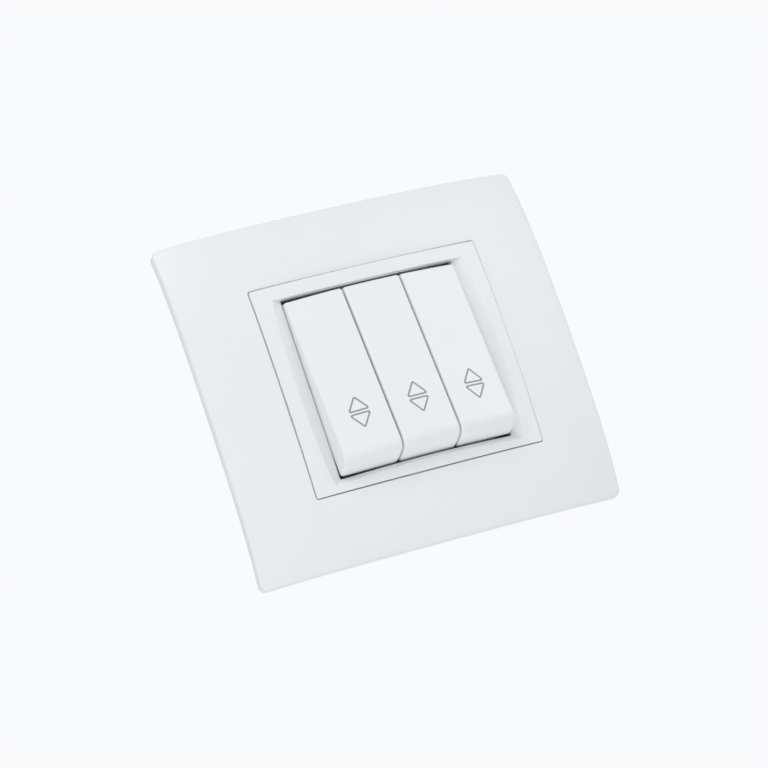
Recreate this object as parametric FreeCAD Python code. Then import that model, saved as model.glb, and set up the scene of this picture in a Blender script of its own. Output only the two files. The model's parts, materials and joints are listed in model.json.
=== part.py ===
"""Three-gang two-way wall switch.

The switch stands as it does on a wall. X is to the right seen from the room, Z is up, and the room is
on the -Y side. The origin is on the rear face of the steel support plate, which lies on the wall, at
the centre of the plate. "out" is a distance in front of the wall, so out = -y; the mechanism behind the
wall has a negative out. All sizes are in millimetres.
"""
import FreeCAD, Part
import math
import os
from FreeCAD import Vector

# gangs
GANG_NAMES = ["left", "middle", "right"]
GANG_PITCH = 13.95

# cover frame
FRAME_WIDTH = 88.0
FRAME_HEIGHT = 79.1
FRAME_CORNER_RADIUS = 1.6
FRAME_SIDE_BOW = 0.13          # how far the middle of each side stands out in plan
FRAME_SHELL = 2.4              # shell thickness, which is also the height of the thin edge
FRAME_CORNER_STANDOFF = 0.3    # from the wall to the shell's rear at a corner
DOME_RISE = 3.8                # how far the middle of an edge stands in front of its corners
DOME_FLATNESS = 0.6            # share of the rise that grows with the fourth power
FRAME_SKIRT_INSET = 2.5
FRAME_SKIRT_WALL = 1.1
FRAME_COLLAR_WALL = 1.4
FRAME_COLLAR_OUT = 4.6         # where the collar round the window ends
FRAME_EDGE_ROUND = 0.35

# bezel, which fills the frame's window
BEZEL_WIDTH = 55.0
BEZEL_HEIGHT = 48.2
BEZEL_CORNER_RADIUS = 0.4
BEZEL_PROUD = 0.95             # in front of the frame's dome, at the middle
BEZEL_SIDE_FALL = 0.4          # how much less it stands proud at its left and right edges
BEZEL_END_FALL = 0.35          # the same at its upper and lower edges
BEZEL_EDGE_ROUND = 0.2
BEZEL_CLEARANCE = 0.2
BEZEL_RIM = 1.0                # how far the rim overlaps the frame's ledge
BEZEL_RIM_DEPTH = 1.2          # from the frame's surface down to the ledge
BEZEL_WALL = 1.4
BEZEL_TOP_WALL = 1.5
BEZEL_SKIRT_OUT = 4.2
LIP_OUT = 9.7                  # where the scoop meets the opening, at the middle
OPENING_UPPER_REACH = 20.75    # from the pivots' height to the lip's ends
OPENING_LOWER_REACH = 21.2
SCOOP_SIDE_RUN = 1.75          # sideways for each millimetre of depth, at the left and right
SCOOP_TOP_RUN = 0.12           # the same above
SCOOP_BOTTOM_RUN = 1.0         # the same below
CLIP_WIDTH = 4.0
CLIP_THICK = 1.2
CLIP_PLACE = 16.0
CLIP_HOOK = 0.8
CLIP_HOOK_LENGTH = 1.2
CLIP_CLEARANCE = 0.3
LUG_THICK = 1.0                # the plate's upright lugs that the clips catch in
LUG_SIDE = 1.5
LUG_BAR = 0.9

# rockers
PIVOT_OUT = 6.6
ROCKER_FACE_OUT = 13.5         # at the middle of the middle rocker
ROCKER_FIELD_RADIUS = 150.0    # the rockers' fronts and the lip follow one arc from left to right
ROCKER_TILT = 7.0              # to each side of the middle position, in degrees
ROCKER_SIDE_GAP = 0.2
ROCKER_BETWEEN_GAP = 0.4
ROCKER_END_GAP = 0.5
ROCKER_SKIRT = 7.4
ROCKER_TOP_WALL = 2.4          # at the middle of the middle rocker, and thinner to each side
ROCKER_SIDE_WALL = 1.1
ROCKER_END_WALL = 1.8
ROCKER_NOSE_RADIUS = 2.5
ROCKER_HEEL_RADIUS = 0.9
ROCKER_EDGE_ROUND = 0.6
ROCKER_LEG_THICK = 1.3
ROCKER_LEG_WIDTH = 6.0
ROCKER_LEG_TIP = 1.0           # in front of the pivot

# two-way mark on each rocker
MARK_WIDTH = 5.45
MARK_TRIANGLE_HEIGHT = 3.8
MARK_SPLIT = 0.35
MARK_STROKE = 0.4
MARK_DEPTH = 0.15
MARK_CORNER = 0.45
MARK_PLACE = -9.75             # along the rocker, from its middle

# steel support plate
SUPPORT_SIDE_CLEARANCE = 4.9   # from the frame's skirt, at the left and right
SUPPORT_END_CLEARANCE = 0.45   # the same above and below
SUPPORT_CORNER = 8.0
SUPPORT_THICK = 1.2
FIXING_SPACING = 60.0
FIXING_SLOT_RADIUS = 2.1
FIXING_SLOT_LENGTH = 7.0
SUPPORT_WINDOW_CLEARANCE = 0.3
SUPPORT_RIB_RISE = 0.6

# housing
HOUSING_WIDTH = 46.0
HOUSING_HEIGHT = 44.0
HOUSING_DEPTH = 22.0
HOUSING_CHAMFER = 3.5
HOUSING_WALL = 1.5
HOUSING_DIVIDER = 1.2
COVER_FLANGE = 1.6
COVER_RAISED_WIDTH = 42.4
COVER_RAISED_HEIGHT = 18.0
COVER_RAISED_OUT = 2.2
COVER_BOSS_WIDTH = 10.4        # one boss inside each rocker
COVER_BOSS_ROOF = 0.6          # in front of the pins
COVER_WINDOW_HEIGHT = 14.8
BEARING_DEPTH = 1.0
BEARING_CLEARANCE = 0.05

# actuators
ACTUATOR_WIDTH = 6.4
ACTUATOR_SIDE_GAP = 0.5
ACTUATOR_HEAD_HEIGHT = 10.0
ACTUATOR_HUB_RADIUS = 3.0
PIN_RADIUS = 1.5
PIN_END_GAP = 0.2
TUBE_RADIUS = 2.7
TUBE_REACH = 13.0
POCKET_RADIUS = 1.95
POCKET_FLOOR = 3.5
SPRING_RADIUS = 1.5            # to the middle of the wire
SPRING_WIRE = 0.3              # wire radius
SPRING_STAND_PROUD = 0.6       # past the tube's mouth
SPRING_TURNS = 8

# contacts
CONTACT_TILT = 6.0
CONTACT_HALF_LENGTH = 7.4
CONTACT_WIDTH = 4.0
CONTACT_THICK = 1.0
CONTACT_GAP_TO_TUBE = 1.0
EAR_THICK = 0.6
EAR_HALF_HEIGHT = 1.2
EAR_REACH = 1.7
TIP_PLACE = 6.0
TIP_RADIUS = 1.3
TIP_HEIGHT = 0.8
TIP_CLOSED_GAP = 0.3
FULCRUM_RADIUS = 0.6
FULCRUM_GAP = 0.1
STRIP_THICK = 0.8
STRIP_END = 4.5                # how near the middle a fixed contact reaches

# terminals
BLOCK_WIDTH_WIDE = 6.0
BLOCK_WIDTH = 4.5
BLOCK_OFFSET = 2.75            # of the two lower blocks, to each side of the gang's middle
BLOCK_HEIGHT = 6.0
BLOCK_DEPTH = 8.0
BLOCK_TO_WALL = 1.5
WIRE_HOLE_RADIUS = 1.6
WIRE_HOLE_LENGTH = 7.0
WIRE_ENTRY_CLEARANCE = 0.3
COMMON_STRIP_DROP = 2.2        # from the fixed contacts' strips to the common one, behind them
TERMINAL_SCREW_RADIUS = 1.0
TERMINAL_HEAD_RADIUS = 2.1
TERMINAL_HEAD_HEIGHT = 1.5
TERMINAL_HEAD_CLEARANCE = 0.2
THREAD_CLEARANCE = 0.04
SCREW_SLOT_WIDTH = 0.7
SCREW_SLOT_DEPTH = 0.7

# claws, which spread in the wall box when their screws are turned
CLAW_PIVOT_OUT = -2.0
CLAW_PIN_RADIUS = 0.9
CLAW_PIN_CLEARANCE = 0.05
CLAW_THICK = 1.4
CLAW_WIDTH = 9.0
CLAW_REAR_OUT = -18.0
CLAW_FORK_GAP = 4.0
CLAW_FOOT_FRONT_OUT = -3.0
CLAW_FOOT_BEYOND_SCREW = 2.9
CLAW_FOOT_WIDTH = 6.8
CLAW_TOOTH = 3.0
CLAW_LUG_THICK = 1.0
CLAW_LUG_GAP = 0.3
CLAW_LUG_REACH = 1.5
CLAW_SCREW_FROM_PIVOT = 3.0
CLAW_SCREW_RADIUS = 1.25
CLAW_SCREW_CLEARANCE = 0.05
CLAW_SCREW_REAR_OUT = -14.0
CLAW_SCREW_HEAD_RADIUS = 2.3
CLAW_SCREW_HEAD_HEIGHT = 1.4
CLAW_SCREW_HEAD_GAP = 0.05
CLAW_SCREW_ROOM = 2.0          # half length of the foot's slot round the screw

# housing screws
HOUSING_SCREW_PLACE = 12.0
HOUSING_SCREW_RADIUS = 1.0
HOUSING_SCREW_HEAD_RADIUS = 1.9
HOUSING_SCREW_HEAD_HEIGHT = 1.0
HOUSING_SCREW_LENGTH = 9.0
BOSS_RADIUS = 1.85

# worked out from the sizes above
GANG_COUNT = len(GANG_NAMES)
GANG_PLACES = [GANG_PITCH * (i - (GANG_COUNT - 1) / 2) for i in range(GANG_COUNT)]
ROCKER_WIDTH = GANG_PITCH - ROCKER_BETWEEN_GAP
OPENING_WIDTH = (GANG_COUNT - 1) * GANG_PITCH + ROCKER_WIDTH + 2 * ROCKER_SIDE_GAP
SKIRT_WIDTH = BEZEL_WIDTH - 2 * BEZEL_RIM
SKIRT_HEIGHT = BEZEL_HEIGHT - 2 * BEZEL_RIM
SKIRT_INNER_X = SKIRT_WIDTH / 2 - BEZEL_WALL
DOME_TOP_OUT = FRAME_CORNER_STANDOFF + FRAME_SHELL + 2 * DOME_RISE
LIP_SIDE_FALL = ROCKER_FIELD_RADIUS - math.sqrt(ROCKER_FIELD_RADIUS ** 2 - (OPENING_WIDTH / 2) ** 2)
LIP_SIDE_OUT = LIP_OUT - LIP_SIDE_FALL
LIP_RADIUS = {                 # above and below the pivots
    1: math.hypot(OPENING_UPPER_REACH, LIP_SIDE_OUT - PIVOT_OUT),
    -1: math.hypot(OPENING_LOWER_REACH, LIP_SIDE_OUT - PIVOT_OUT),
}
ROCKER_END_RADIUS = {side: radius - ROCKER_END_GAP for side, radius in LIP_RADIUS.items()}
FACE_RISE = ROCKER_FACE_OUT - PIVOT_OUT
SKIRT_RISE = FACE_RISE - ROCKER_SKIRT
SUPPORT_WIDTH = FRAME_WIDTH - 2 * (FRAME_SKIRT_INSET + FRAME_SKIRT_WALL + SUPPORT_SIDE_CLEARANCE)
SUPPORT_HEIGHT = FRAME_HEIGHT - 2 * (FRAME_SKIRT_INSET + FRAME_SKIRT_WALL + SUPPORT_END_CLEARANCE)
HEAD_RISE = FACE_RISE - ROCKER_TOP_WALL
CLAW_PIVOT_X = max(HOUSING_WIDTH, COVER_RAISED_WIDTH) / 2 + CLAW_LUG_REACH
CLAW_SCREW_X = CLAW_PIVOT_X + CLAW_SCREW_FROM_PIVOT
CLAW_FOOT_END = CLAW_SCREW_X + CLAW_FOOT_BEYOND_SCREW
CONTACT_FRONT_OUT = PIVOT_OUT - TUBE_REACH - CONTACT_GAP_TO_TUBE
CONTACT_REAR_OUT = CONTACT_FRONT_OUT - CONTACT_THICK
FULCRUM_OUT = CONTACT_REAR_OUT - FULCRUM_GAP - FULCRUM_RADIUS
HOUSING_REAR_OUT = -HOUSING_DEPTH
CAVITY_REAR_OUT = HOUSING_REAR_OUT + HOUSING_WALL
BLOCK_FRONT_OUT = CAVITY_REAR_OUT + BLOCK_DEPTH
STRIP_FRONT_OUT = BLOCK_FRONT_OUT + STRIP_THICK
BLOCK_OUTER = HOUSING_HEIGHT / 2 - HOUSING_WALL - BLOCK_TO_WALL
BLOCK_INNER = BLOCK_OUTER - BLOCK_HEIGHT
BLOCK_MIDDLE = BLOCK_OUTER - BLOCK_HEIGHT / 2
WIRE_HOLE_MIDDLE_OUT = CAVITY_REAR_OUT + WIRE_HOLE_LENGTH / 2
FAR = 200.0


def block(x_low, x_high, out_low, out_high, z_low, z_high):
    """A box between two limits along X, out from the wall, and Z."""
    return Part.makeBox(
        x_high - x_low, out_high - out_low, z_high - z_low, Vector(x_low, -out_high, z_low)
    )


def centred_block(x_middle, width, out_low, out_high, z_middle, height):
    return block(
        x_middle - width / 2, x_middle + width / 2, out_low, out_high,
        z_middle - height / 2, z_middle + height / 2,
    )


def rod_along_x(radius, x_low, x_high, out, z):
    return Part.makeCylinder(radius, x_high - x_low, Vector(x_low, -out, z), Vector(1, 0, 0))


def rod_along_out(radius, out_low, out_high, x, z):
    return Part.makeCylinder(radius, out_high - out_low, Vector(x, -out_low, z), Vector(0, -1, 0))


def rod_along_z(radius, z_low, z_high, x, out):
    return Part.makeCylinder(radius, z_high - z_low, Vector(x, -out, z_low), Vector(0, 0, 1))


def joined(first, *others):
    result = first
    for other in others:
        result = result.fuse(other)
    return result.removeSplitter()


def without(first, *others):
    result = first
    for other in others:
        result = result.cut(other)
    return result


def turned(shape, degrees, out, z=0.0):
    """The shape turned about an axis along X."""
    copy = shape.copy()
    copy.rotate(Vector(0, -out, z), Vector(1, 0, 0), degrees)
    return copy


def rounded_outline(points, radius):
    """A closed wire through the points, with each corner rounded. The points lie in one plane."""
    count = len(points)
    edges = []
    starts, ends, middles = [], [], []
    for i, corner in enumerate(points):
        to_last = (points[i - 1] - corner).normalize()
        to_next = (points[(i + 1) % count] - corner).normalize()
        half = to_last.getAngle(to_next) / 2
        back = radius / math.tan(half)
        towards_centre = (to_last + to_next).normalize()
        reach = radius / math.sin(half)
        starts.append(corner + to_last * back)
        ends.append(corner + to_next * back)
        middles.append(corner + towards_centre * (reach - radius))
    for i in range(count):
        edges.append(Part.Arc(starts[i], middles[i], ends[i]).toShape())
        following = (i + 1) % count
        if (ends[i] - starts[following]).Length > 1e-6:
            edges.append(Part.LineSegment(ends[i], starts[following]).toShape())
    return Part.Wire(Part.__sortEdges__(edges))


def rectangle_prism(width, height, radius, out_low, out_high):
    """A rounded rectangle round the origin, extruded out from the wall."""
    corners = [
        Vector(sx * width / 2, -out_low, sz * height / 2)
        for sx, sz in ((-1, -1), (1, -1), (1, 1), (-1, 1))
    ]
    wire = rounded_outline(corners, radius)
    return Part.Face(wire).extrude(Vector(0, out_low - out_high, 0))


def dome_face(raise_by, side_fall=0.0, end_fall=0.0, overhang=3.0):
    """The domed front surface: its out falls away from the middle by a share of the second and of the
    fourth power of the distance, along X and along Z alike, so its poles can be written down. It
    falls by side_fall and end_fall more at the bezel's edges."""
    second = [1.0, 0.0, -1.0 / 3.0, 0.0, 1.0]
    fourth = [1.0, -1.0, 1.0, -1.0, 1.0]
    half_x, half_z = FRAME_WIDTH / 2, FRAME_HEIGHT / 2
    grow_x, grow_z = (half_x + overhang) / half_x, (half_z + overhang) / half_z

    def drops(grow, fall, fall_reach):
        return [
            DOME_RISE * ((1 - DOME_FLATNESS) * s * grow ** 2 + DOME_FLATNESS * f * grow ** 4)
            + fall * s * fall_reach ** 2
            for s, f in zip(second, fourth)
        ]

    drops_x = drops(grow_x, side_fall, 2 * (half_x + overhang) / BEZEL_WIDTH)
    drops_z = drops(grow_z, end_fall, 2 * (half_z + overhang) / BEZEL_HEIGHT)
    surface = Part.BezierSurface()
    surface.increase(4, 4)
    for i in range(5):
        for j in range(5):
            x = (half_x + overhang) * (i / 2 - 1)
            z = (half_z + overhang) * (j / 2 - 1)
            out = DOME_TOP_OUT + raise_by - drops_x[i] - drops_z[j]
            surface.setPole(i + 1, j + 1, Vector(x, -out, z))
    return surface.toShape()


def behind_dome(raise_by, depth):
    """The space behind the domed surface, as deep as that everywhere."""
    return dome_face(raise_by).extrude(Vector(0, depth, 0))


def behind_bezel_face():
    """The space behind the bezel's front, which is a little more domed than the frame's."""
    face = dome_face(BEZEL_PROUD, BEZEL_SIDE_FALL, BEZEL_END_FALL)
    return face.extrude(Vector(0, FAR, 0))


def frame_prism(inset, out_low, out_high):
    """The frame's plan, whose sides are shallow arcs, moved in by inset and extruded."""
    half_x, half_z = FRAME_WIDTH / 2 - inset, FRAME_HEIGHT / 2 - inset
    corners = [Vector(-half_x, 0, -half_z), Vector(half_x, 0, -half_z),
               Vector(half_x, 0, half_z), Vector(-half_x, 0, half_z)]
    middles = [Vector(0, 0, -half_z - FRAME_SIDE_BOW), Vector(half_x + FRAME_SIDE_BOW, 0, 0),
               Vector(0, 0, half_z + FRAME_SIDE_BOW), Vector(-half_x - FRAME_SIDE_BOW, 0, 0)]
    edges = [
        Part.Arc(corners[i], middles[i], corners[(i + 1) % 4]).toShape() for i in range(4)
    ]
    face = Part.Face(Part.Wire(edges))
    face.translate(Vector(0, -out_low, 0))
    prism = face.extrude(Vector(0, out_low - out_high, 0))
    uprights = [
        e for e in prism.Edges
        if e.BoundBox.YLength > (out_high - out_low) / 2 and e.BoundBox.XLength < 1e-3
    ]
    return prism.makeFillet(max(FRAME_CORNER_RADIUS - inset, 0.5), uprights)


def make_frame():
    """The cover frame: a thin domed shell, a skirt that meets the wall, and round the window a ledge
    under the bezel's rim and a collar behind it."""
    gap = 2 * BEZEL_CLEARANCE
    shell = behind_dome(0, FRAME_SHELL).common(frame_prism(0, -5, DOME_TOP_OUT + 5))
    shell = shell.makeFillet(FRAME_EDGE_ROUND, front_edges(shell, FRAME_HEIGHT / 2))
    skirt = without(
        frame_prism(FRAME_SKIRT_INSET, 0, DOME_TOP_OUT),
        frame_prism(FRAME_SKIRT_INSET + FRAME_SKIRT_WALL, -1, DOME_TOP_OUT + 1),
    )
    collar = rectangle_prism(
        SKIRT_WIDTH + gap + 2 * FRAME_COLLAR_WALL, SKIRT_HEIGHT + gap + 2 * FRAME_COLLAR_WALL,
        BEZEL_CORNER_RADIUS + FRAME_COLLAR_WALL, FRAME_COLLAR_OUT, DOME_TOP_OUT,
    )
    walls = skirt.fuse(collar).common(behind_dome(-FRAME_SHELL / 2, FAR))
    window = rectangle_prism(
        SKIRT_WIDTH + gap, SKIRT_HEIGHT + gap, BEZEL_CORNER_RADIUS + BEZEL_CLEARANCE,
        -5, DOME_TOP_OUT + 5,
    )
    rebate = rectangle_prism(
        BEZEL_WIDTH + gap, BEZEL_HEIGHT + gap, BEZEL_CORNER_RADIUS + BEZEL_CLEARANCE,
        0, DOME_TOP_OUT + 5,
    ).cut(behind_dome(-BEZEL_RIM_DEPTH, FAR))
    frame = without(joined(shell, walls), window, rebate)
    return frame.makeFillet(BEZEL_EDGE_ROUND, window_edges(frame))


def window_edges(frame):
    """The front edges of the frame's rebate, round the bezel."""
    half_x, half_z = BEZEL_WIDTH / 2 + BEZEL_CLEARANCE, BEZEL_HEIGHT / 2 + BEZEL_CLEARANCE
    edges = []
    for edge in front_edges(frame, BEZEL_HEIGHT / 2):
        middle = edge.valueAt((edge.FirstParameter + edge.LastParameter) / 2)
        if abs(middle.x) < half_x + 1e-3 and abs(middle.z) < half_z + 1e-3:
            edges.append(edge)
    return edges


def front_edges(shape, least_length):
    """The long edges of a domed plate that lie on its front surface."""
    edges = []
    for edge in shape.Edges:
        middle = edge.valueAt((edge.FirstParameter + edge.LastParameter) / 2)
        is_front = -middle.y > edge_out_on_dome(middle.x, middle.z) - BEZEL_RIM_DEPTH / 2
        if is_front and max(edge.BoundBox.XLength, edge.BoundBox.ZLength) > least_length:
            edges.append(edge)
    return edges


def edge_out_on_dome(x, z):
    """How far out the domed surface lies at a place in plan."""
    out = DOME_TOP_OUT
    for share in (2 * x / FRAME_WIDTH, 2 * z / FRAME_HEIGHT):
        out -= DOME_RISE * ((1 - DOME_FLATNESS) * share ** 2 + DOME_FLATNESS * share ** 4)
    return out


def swept_round_field(face, front_out):
    """A face in the plane x = 0 swept from left to right along the arc that the rockers follow, where
    front_out is the arc's front at the middle."""
    start = face.copy()
    centre, upright = Vector(0, ROCKER_FIELD_RADIUS - front_out, 0), Vector(0, 0, 1)
    half_angle = math.degrees(math.asin(SKIRT_WIDTH / 2 / ROCKER_FIELD_RADIUS))
    start.rotate(centre, upright, -half_angle)
    return start.revolve(centre, upright, 2 * half_angle)


def polygon_face(corners):
    return Part.Face(Part.makePolygon(corners + corners[:1]))


def scoop():
    """The shallow funnel from the bezel's rim down to the rockers' opening. Its upper and lower walls
    and its lip follow the arc of the rockers, and its left and right slopes are flat."""
    rise = 5.0
    bottom, top = -OPENING_LOWER_REACH, OPENING_UPPER_REACH
    upright_section = polygon_face([
        Vector(0, -LIP_OUT, bottom), Vector(0, -LIP_OUT, top),
        Vector(0, -(LIP_OUT + rise), top + SCOOP_TOP_RUN * rise),
        Vector(0, -(LIP_OUT + rise), bottom - SCOOP_BOTTOM_RUN * rise),
    ])
    half_x = OPENING_WIDTH / 2
    level_section = polygon_face([
        Vector(-half_x, -under_lip_out(), -FAR / 4), Vector(half_x, -under_lip_out(), -FAR / 4),
        Vector(half_x, -LIP_SIDE_OUT, -FAR / 4),
        Vector(half_x + SCOOP_SIDE_RUN * rise, -(LIP_SIDE_OUT + rise), -FAR / 4),
        Vector(-half_x - SCOOP_SIDE_RUN * rise, -(LIP_SIDE_OUT + rise), -FAR / 4),
        Vector(-half_x, -LIP_SIDE_OUT, -FAR / 4),
    ])
    slopes = level_section.extrude(Vector(0, 0, FAR / 2))
    return swept_round_field(upright_section, LIP_OUT).common(slopes)


def under_lip_out():
    return LIP_SIDE_OUT - BEZEL_TOP_WALL


def sweep_room():
    """The space that the rockers' ends sweep: half cylinders about the pivots, wider below."""
    half_x = OPENING_WIDTH / 2
    upper = rod_along_x(LIP_RADIUS[1], -half_x, half_x, PIVOT_OUT, 0)
    lower = rod_along_x(LIP_RADIUS[-1], -half_x, half_x, PIVOT_OUT, 0)
    lower = lower.cut(block(-FAR, FAR, -FAR, FAR, 0, FAR))
    return upper.fuse(lower)


def make_bezel():
    """The bezel: a domed rim over the frame's ledge, a scoop down to the opening, a skirt, and four
    clips that catch in the support plate's lugs."""
    rim = rectangle_prism(
        BEZEL_WIDTH, BEZEL_HEIGHT, BEZEL_CORNER_RADIUS, 0, DOME_TOP_OUT + 5
    ).common(behind_bezel_face()).cut(behind_dome(-BEZEL_RIM_DEPTH, FAR))
    rim = rim.makeFillet(BEZEL_EDGE_ROUND, front_edges(rim, BEZEL_HEIGHT / 2))
    skirt = rectangle_prism(
        SKIRT_WIDTH, SKIRT_HEIGHT, BEZEL_CORNER_RADIUS, BEZEL_SKIRT_OUT, DOME_TOP_OUT + 5
    ).common(behind_dome(-BEZEL_RIM_DEPTH / 2, FAR))
    under_lip = under_lip_out()
    hollow = centred_block(
        0, 2 * SKIRT_INNER_X, -5, under_lip, 0, SKIRT_HEIGHT - 2 * BEZEL_WALL
    )
    body = without(joined(rim, skirt), hollow, scoop(), sweep_room())
    leg_end = SUPPORT_THICK + CLIP_CLEARANCE
    clips = []
    for sx in (-1, 1):
        for sz in (-1, 1):
            clips.append(centred_block(
                sx * (SKIRT_INNER_X - CLIP_THICK / 2), CLIP_THICK, leg_end, under_lip,
                sz * CLIP_PLACE, CLIP_WIDTH,
            ))
            clips.append(centred_block(
                sx * (SKIRT_INNER_X + CLIP_HOOK / 2), CLIP_HOOK, leg_end,
                leg_end + CLIP_HOOK_LENGTH, sz * CLIP_PLACE, CLIP_WIDTH,
            ))
    return joined(body, *clips)


def rocker_profile():
    """A section along the middle rocker in its middle position: a flat top between a large nose below
    and a small heel above, and ends that are arcs about the pivot."""
    def point(z, rise):
        return Vector(0, -(PIVOT_OUT + rise), z)

    def on_end(rise, side):
        return point(side * math.sqrt(ROCKER_END_RADIUS[side] ** 2 - rise ** 2), rise)

    def blend(radius, side):
        """Where a rounding of that radius meets the flat and the end, and its own middle."""
        end_radius = ROCKER_END_RADIUS[side]
        centre_z = math.sqrt((end_radius - radius) ** 2 - (FACE_RISE - radius) ** 2)
        centre_rise = FACE_RISE - radius
        stretch = end_radius / (end_radius - radius)
        flat_angle = math.pi / 2
        end_angle = math.atan2(centre_rise, centre_z)
        between = (flat_angle + end_angle) / 2
        flat = point(side * centre_z, FACE_RISE)
        end = point(side * centre_z * stretch, centre_rise * stretch)
        middle = point(
            side * (centre_z + radius * math.cos(between)), centre_rise + radius * math.sin(between)
        )
        return flat, middle, end, centre_rise * stretch

    nose_flat, nose_middle, nose_end, nose_rise = blend(ROCKER_NOSE_RADIUS, -1)
    heel_flat, heel_middle, heel_end, heel_rise = blend(ROCKER_HEEL_RADIUS, 1)
    low_foot, high_foot = on_end(SKIRT_RISE, -1), on_end(SKIRT_RISE, 1)
    edges = [
        Part.Arc(low_foot, on_end((SKIRT_RISE + nose_rise) / 2, -1), nose_end),
        Part.Arc(nose_end, nose_middle, nose_flat),
        Part.LineSegment(nose_flat, heel_flat),
        Part.Arc(heel_flat, heel_middle, heel_end),
        Part.Arc(heel_end, on_end((SKIRT_RISE + heel_rise) / 2, 1), high_foot),
        Part.LineSegment(high_foot, low_foot),
    ]
    return Part.Face(Part.Wire([e.toShape() for e in edges]))


def rocker_blank(x):
    """One rocker without its roundings and hollow: a slice of the form swept along the field's arc."""
    slice_box = centred_block(x, ROCKER_WIDTH, PIVOT_OUT + SKIRT_RISE, FAR, 0, FAR)
    return swept_round_field(rocker_profile(), ROCKER_FACE_OUT).common(slice_box)


def mark_triangles(x, deep):
    """Two outlined triangles, tip up and tip down, sunk into the rocker's face by deep."""
    blank = rocker_blank(x)
    below_skin = blank.copy()
    below_skin.translate(Vector(0, deep, 0))
    shapes = []
    for side in (1, -1):
        base = MARK_PLACE + side * MARK_SPLIT / 2
        tip = base + side * MARK_TRIANGLE_HEIGHT
        front = -ROCKER_FACE_OUT - 1
        outer = [
            Vector(x - MARK_WIDTH / 2, front, base),
            Vector(x + MARK_WIDTH / 2, front, base),
            Vector(x, front, tip),
        ]
        inner = inset_triangle(outer, MARK_STROKE)
        ring = Part.Face(rounded_outline(outer, MARK_CORNER)).cut(
            Part.Face(rounded_outline(inner, MARK_CORNER / 3))
        )
        shapes += ring.extrude(Vector(0, ROCKER_TOP_WALL + 1, 0)).common(blank).cut(below_skin).Solids
    return Part.makeCompound(shapes)


def inset_triangle(corners, inset):
    """The triangle whose sides lie inside those of corners by inset."""
    centre_weight = [
        (corners[(i + 1) % 3] - corners[(i + 2) % 3]).Length for i in range(3)
    ]
    total = sum(centre_weight)
    centre = Vector(0, 0, 0)
    for weight, corner in zip(centre_weight, corners):
        centre = centre + corner * (weight / total)
    area = (corners[1] - corners[0]).cross(corners[2] - corners[0]).Length / 2
    in_radius = 2 * area / total
    return [centre + (corner - centre) * (1 - inset / in_radius) for corner in corners]


def make_rocker(x):
    """One rocker key: a hollow cap with two legs that clip over its actuator's head."""
    low, high = x - ROCKER_WIDTH / 2, x + ROCKER_WIDTH / 2
    body = rocker_blank(x)
    sides = [
        e for e in body.Edges
        if e.BoundBox.XLength < 1e-3 and -e.BoundBox.YMin > PIVOT_OUT + SKIRT_RISE + 0.01
    ]
    body = body.makeFillet(ROCKER_EDGE_ROUND, sides)
    hollow_half = math.sqrt(ROCKER_END_RADIUS[1] ** 2 - FACE_RISE ** 2) - ROCKER_END_WALL
    hollow = block(
        low + ROCKER_SIDE_WALL, high - ROCKER_SIDE_WALL,
        PIVOT_OUT + SKIRT_RISE - 1, PIVOT_OUT + HEAD_RISE, -hollow_half, hollow_half,
    )
    body = without(body, hollow)
    legs = []
    for side in (-1, 1):
        z_middle = side * (ACTUATOR_HEAD_HEIGHT / 2 + ROCKER_LEG_THICK / 2)
        legs.append(centred_block(
            x, ROCKER_LEG_WIDTH, PIVOT_OUT + ROCKER_LEG_TIP, PIVOT_OUT + HEAD_RISE + 0.2,
            z_middle, ROCKER_LEG_THICK,
        ))
    body = joined(body, *legs)
    return without(body, mark_triangles(x, MARK_DEPTH))


def make_actuator(x):
    """The actuator under a rocker: a head, a hub on two pins, and a tube that holds the spring."""
    half = ACTUATOR_WIDTH / 2
    pin_reach = half + ACTUATOR_SIDE_GAP + BEARING_DEPTH - PIN_END_GAP
    head = centred_block(
        x, ACTUATOR_WIDTH, PIVOT_OUT + ROCKER_LEG_TIP / 2, PIVOT_OUT + HEAD_RISE, 0,
        ACTUATOR_HEAD_HEIGHT,
    )
    hub = rod_along_x(ACTUATOR_HUB_RADIUS, x - half, x + half, PIVOT_OUT, 0)
    pins = rod_along_x(PIN_RADIUS, x - pin_reach, x + pin_reach, PIVOT_OUT, 0)
    tube = rod_along_out(TUBE_RADIUS, PIVOT_OUT - TUBE_REACH, PIVOT_OUT, x, 0)
    pocket = rod_along_out(POCKET_RADIUS, PIVOT_OUT - FAR, PIVOT_OUT - POCKET_FLOOR, x, 0)
    return without(joined(head, hub, pins, tube), pocket)


def make_spring(x):
    """The coil spring in the actuator's tube, from the pocket's floor to just past the mouth."""
    length = TUBE_REACH + SPRING_STAND_PROUD - POCKET_FLOOR - 2 * SPRING_WIRE
    helix = Part.makeHelix(length / SPRING_TURNS, length, SPRING_RADIUS)
    section = Part.Wire(Part.makeCircle(
        SPRING_WIRE, Vector(SPRING_RADIUS, 0, 0), Vector(0, 1, length / SPRING_TURNS / 10)
    ))
    coil = Part.Wire(helix.Edges).makePipeShell([section], True, True)
    coil.rotate(Vector(0, 0, 0), Vector(1, 0, 0), -90)
    coil.translate(Vector(x, -(PIVOT_OUT - POCKET_FLOOR - SPRING_WIRE), 0))
    return coil


def make_moving_contact(x):
    """The rocking contact strip, level, with two ears that keep it on the fulcrum."""
    strip = centred_block(
        x, CONTACT_WIDTH, CONTACT_REAR_OUT, CONTACT_FRONT_OUT, 0, 2 * CONTACT_HALF_LENGTH
    )
    ears = [
        centred_block(
            x + side * (CONTACT_WIDTH + EAR_THICK) / 2, EAR_THICK,
            CONTACT_REAR_OUT - EAR_REACH, CONTACT_FRONT_OUT, 0, 2 * EAR_HALF_HEIGHT,
        )
        for side in (-1, 1)
    ]
    return joined(strip, *ears)


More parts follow.
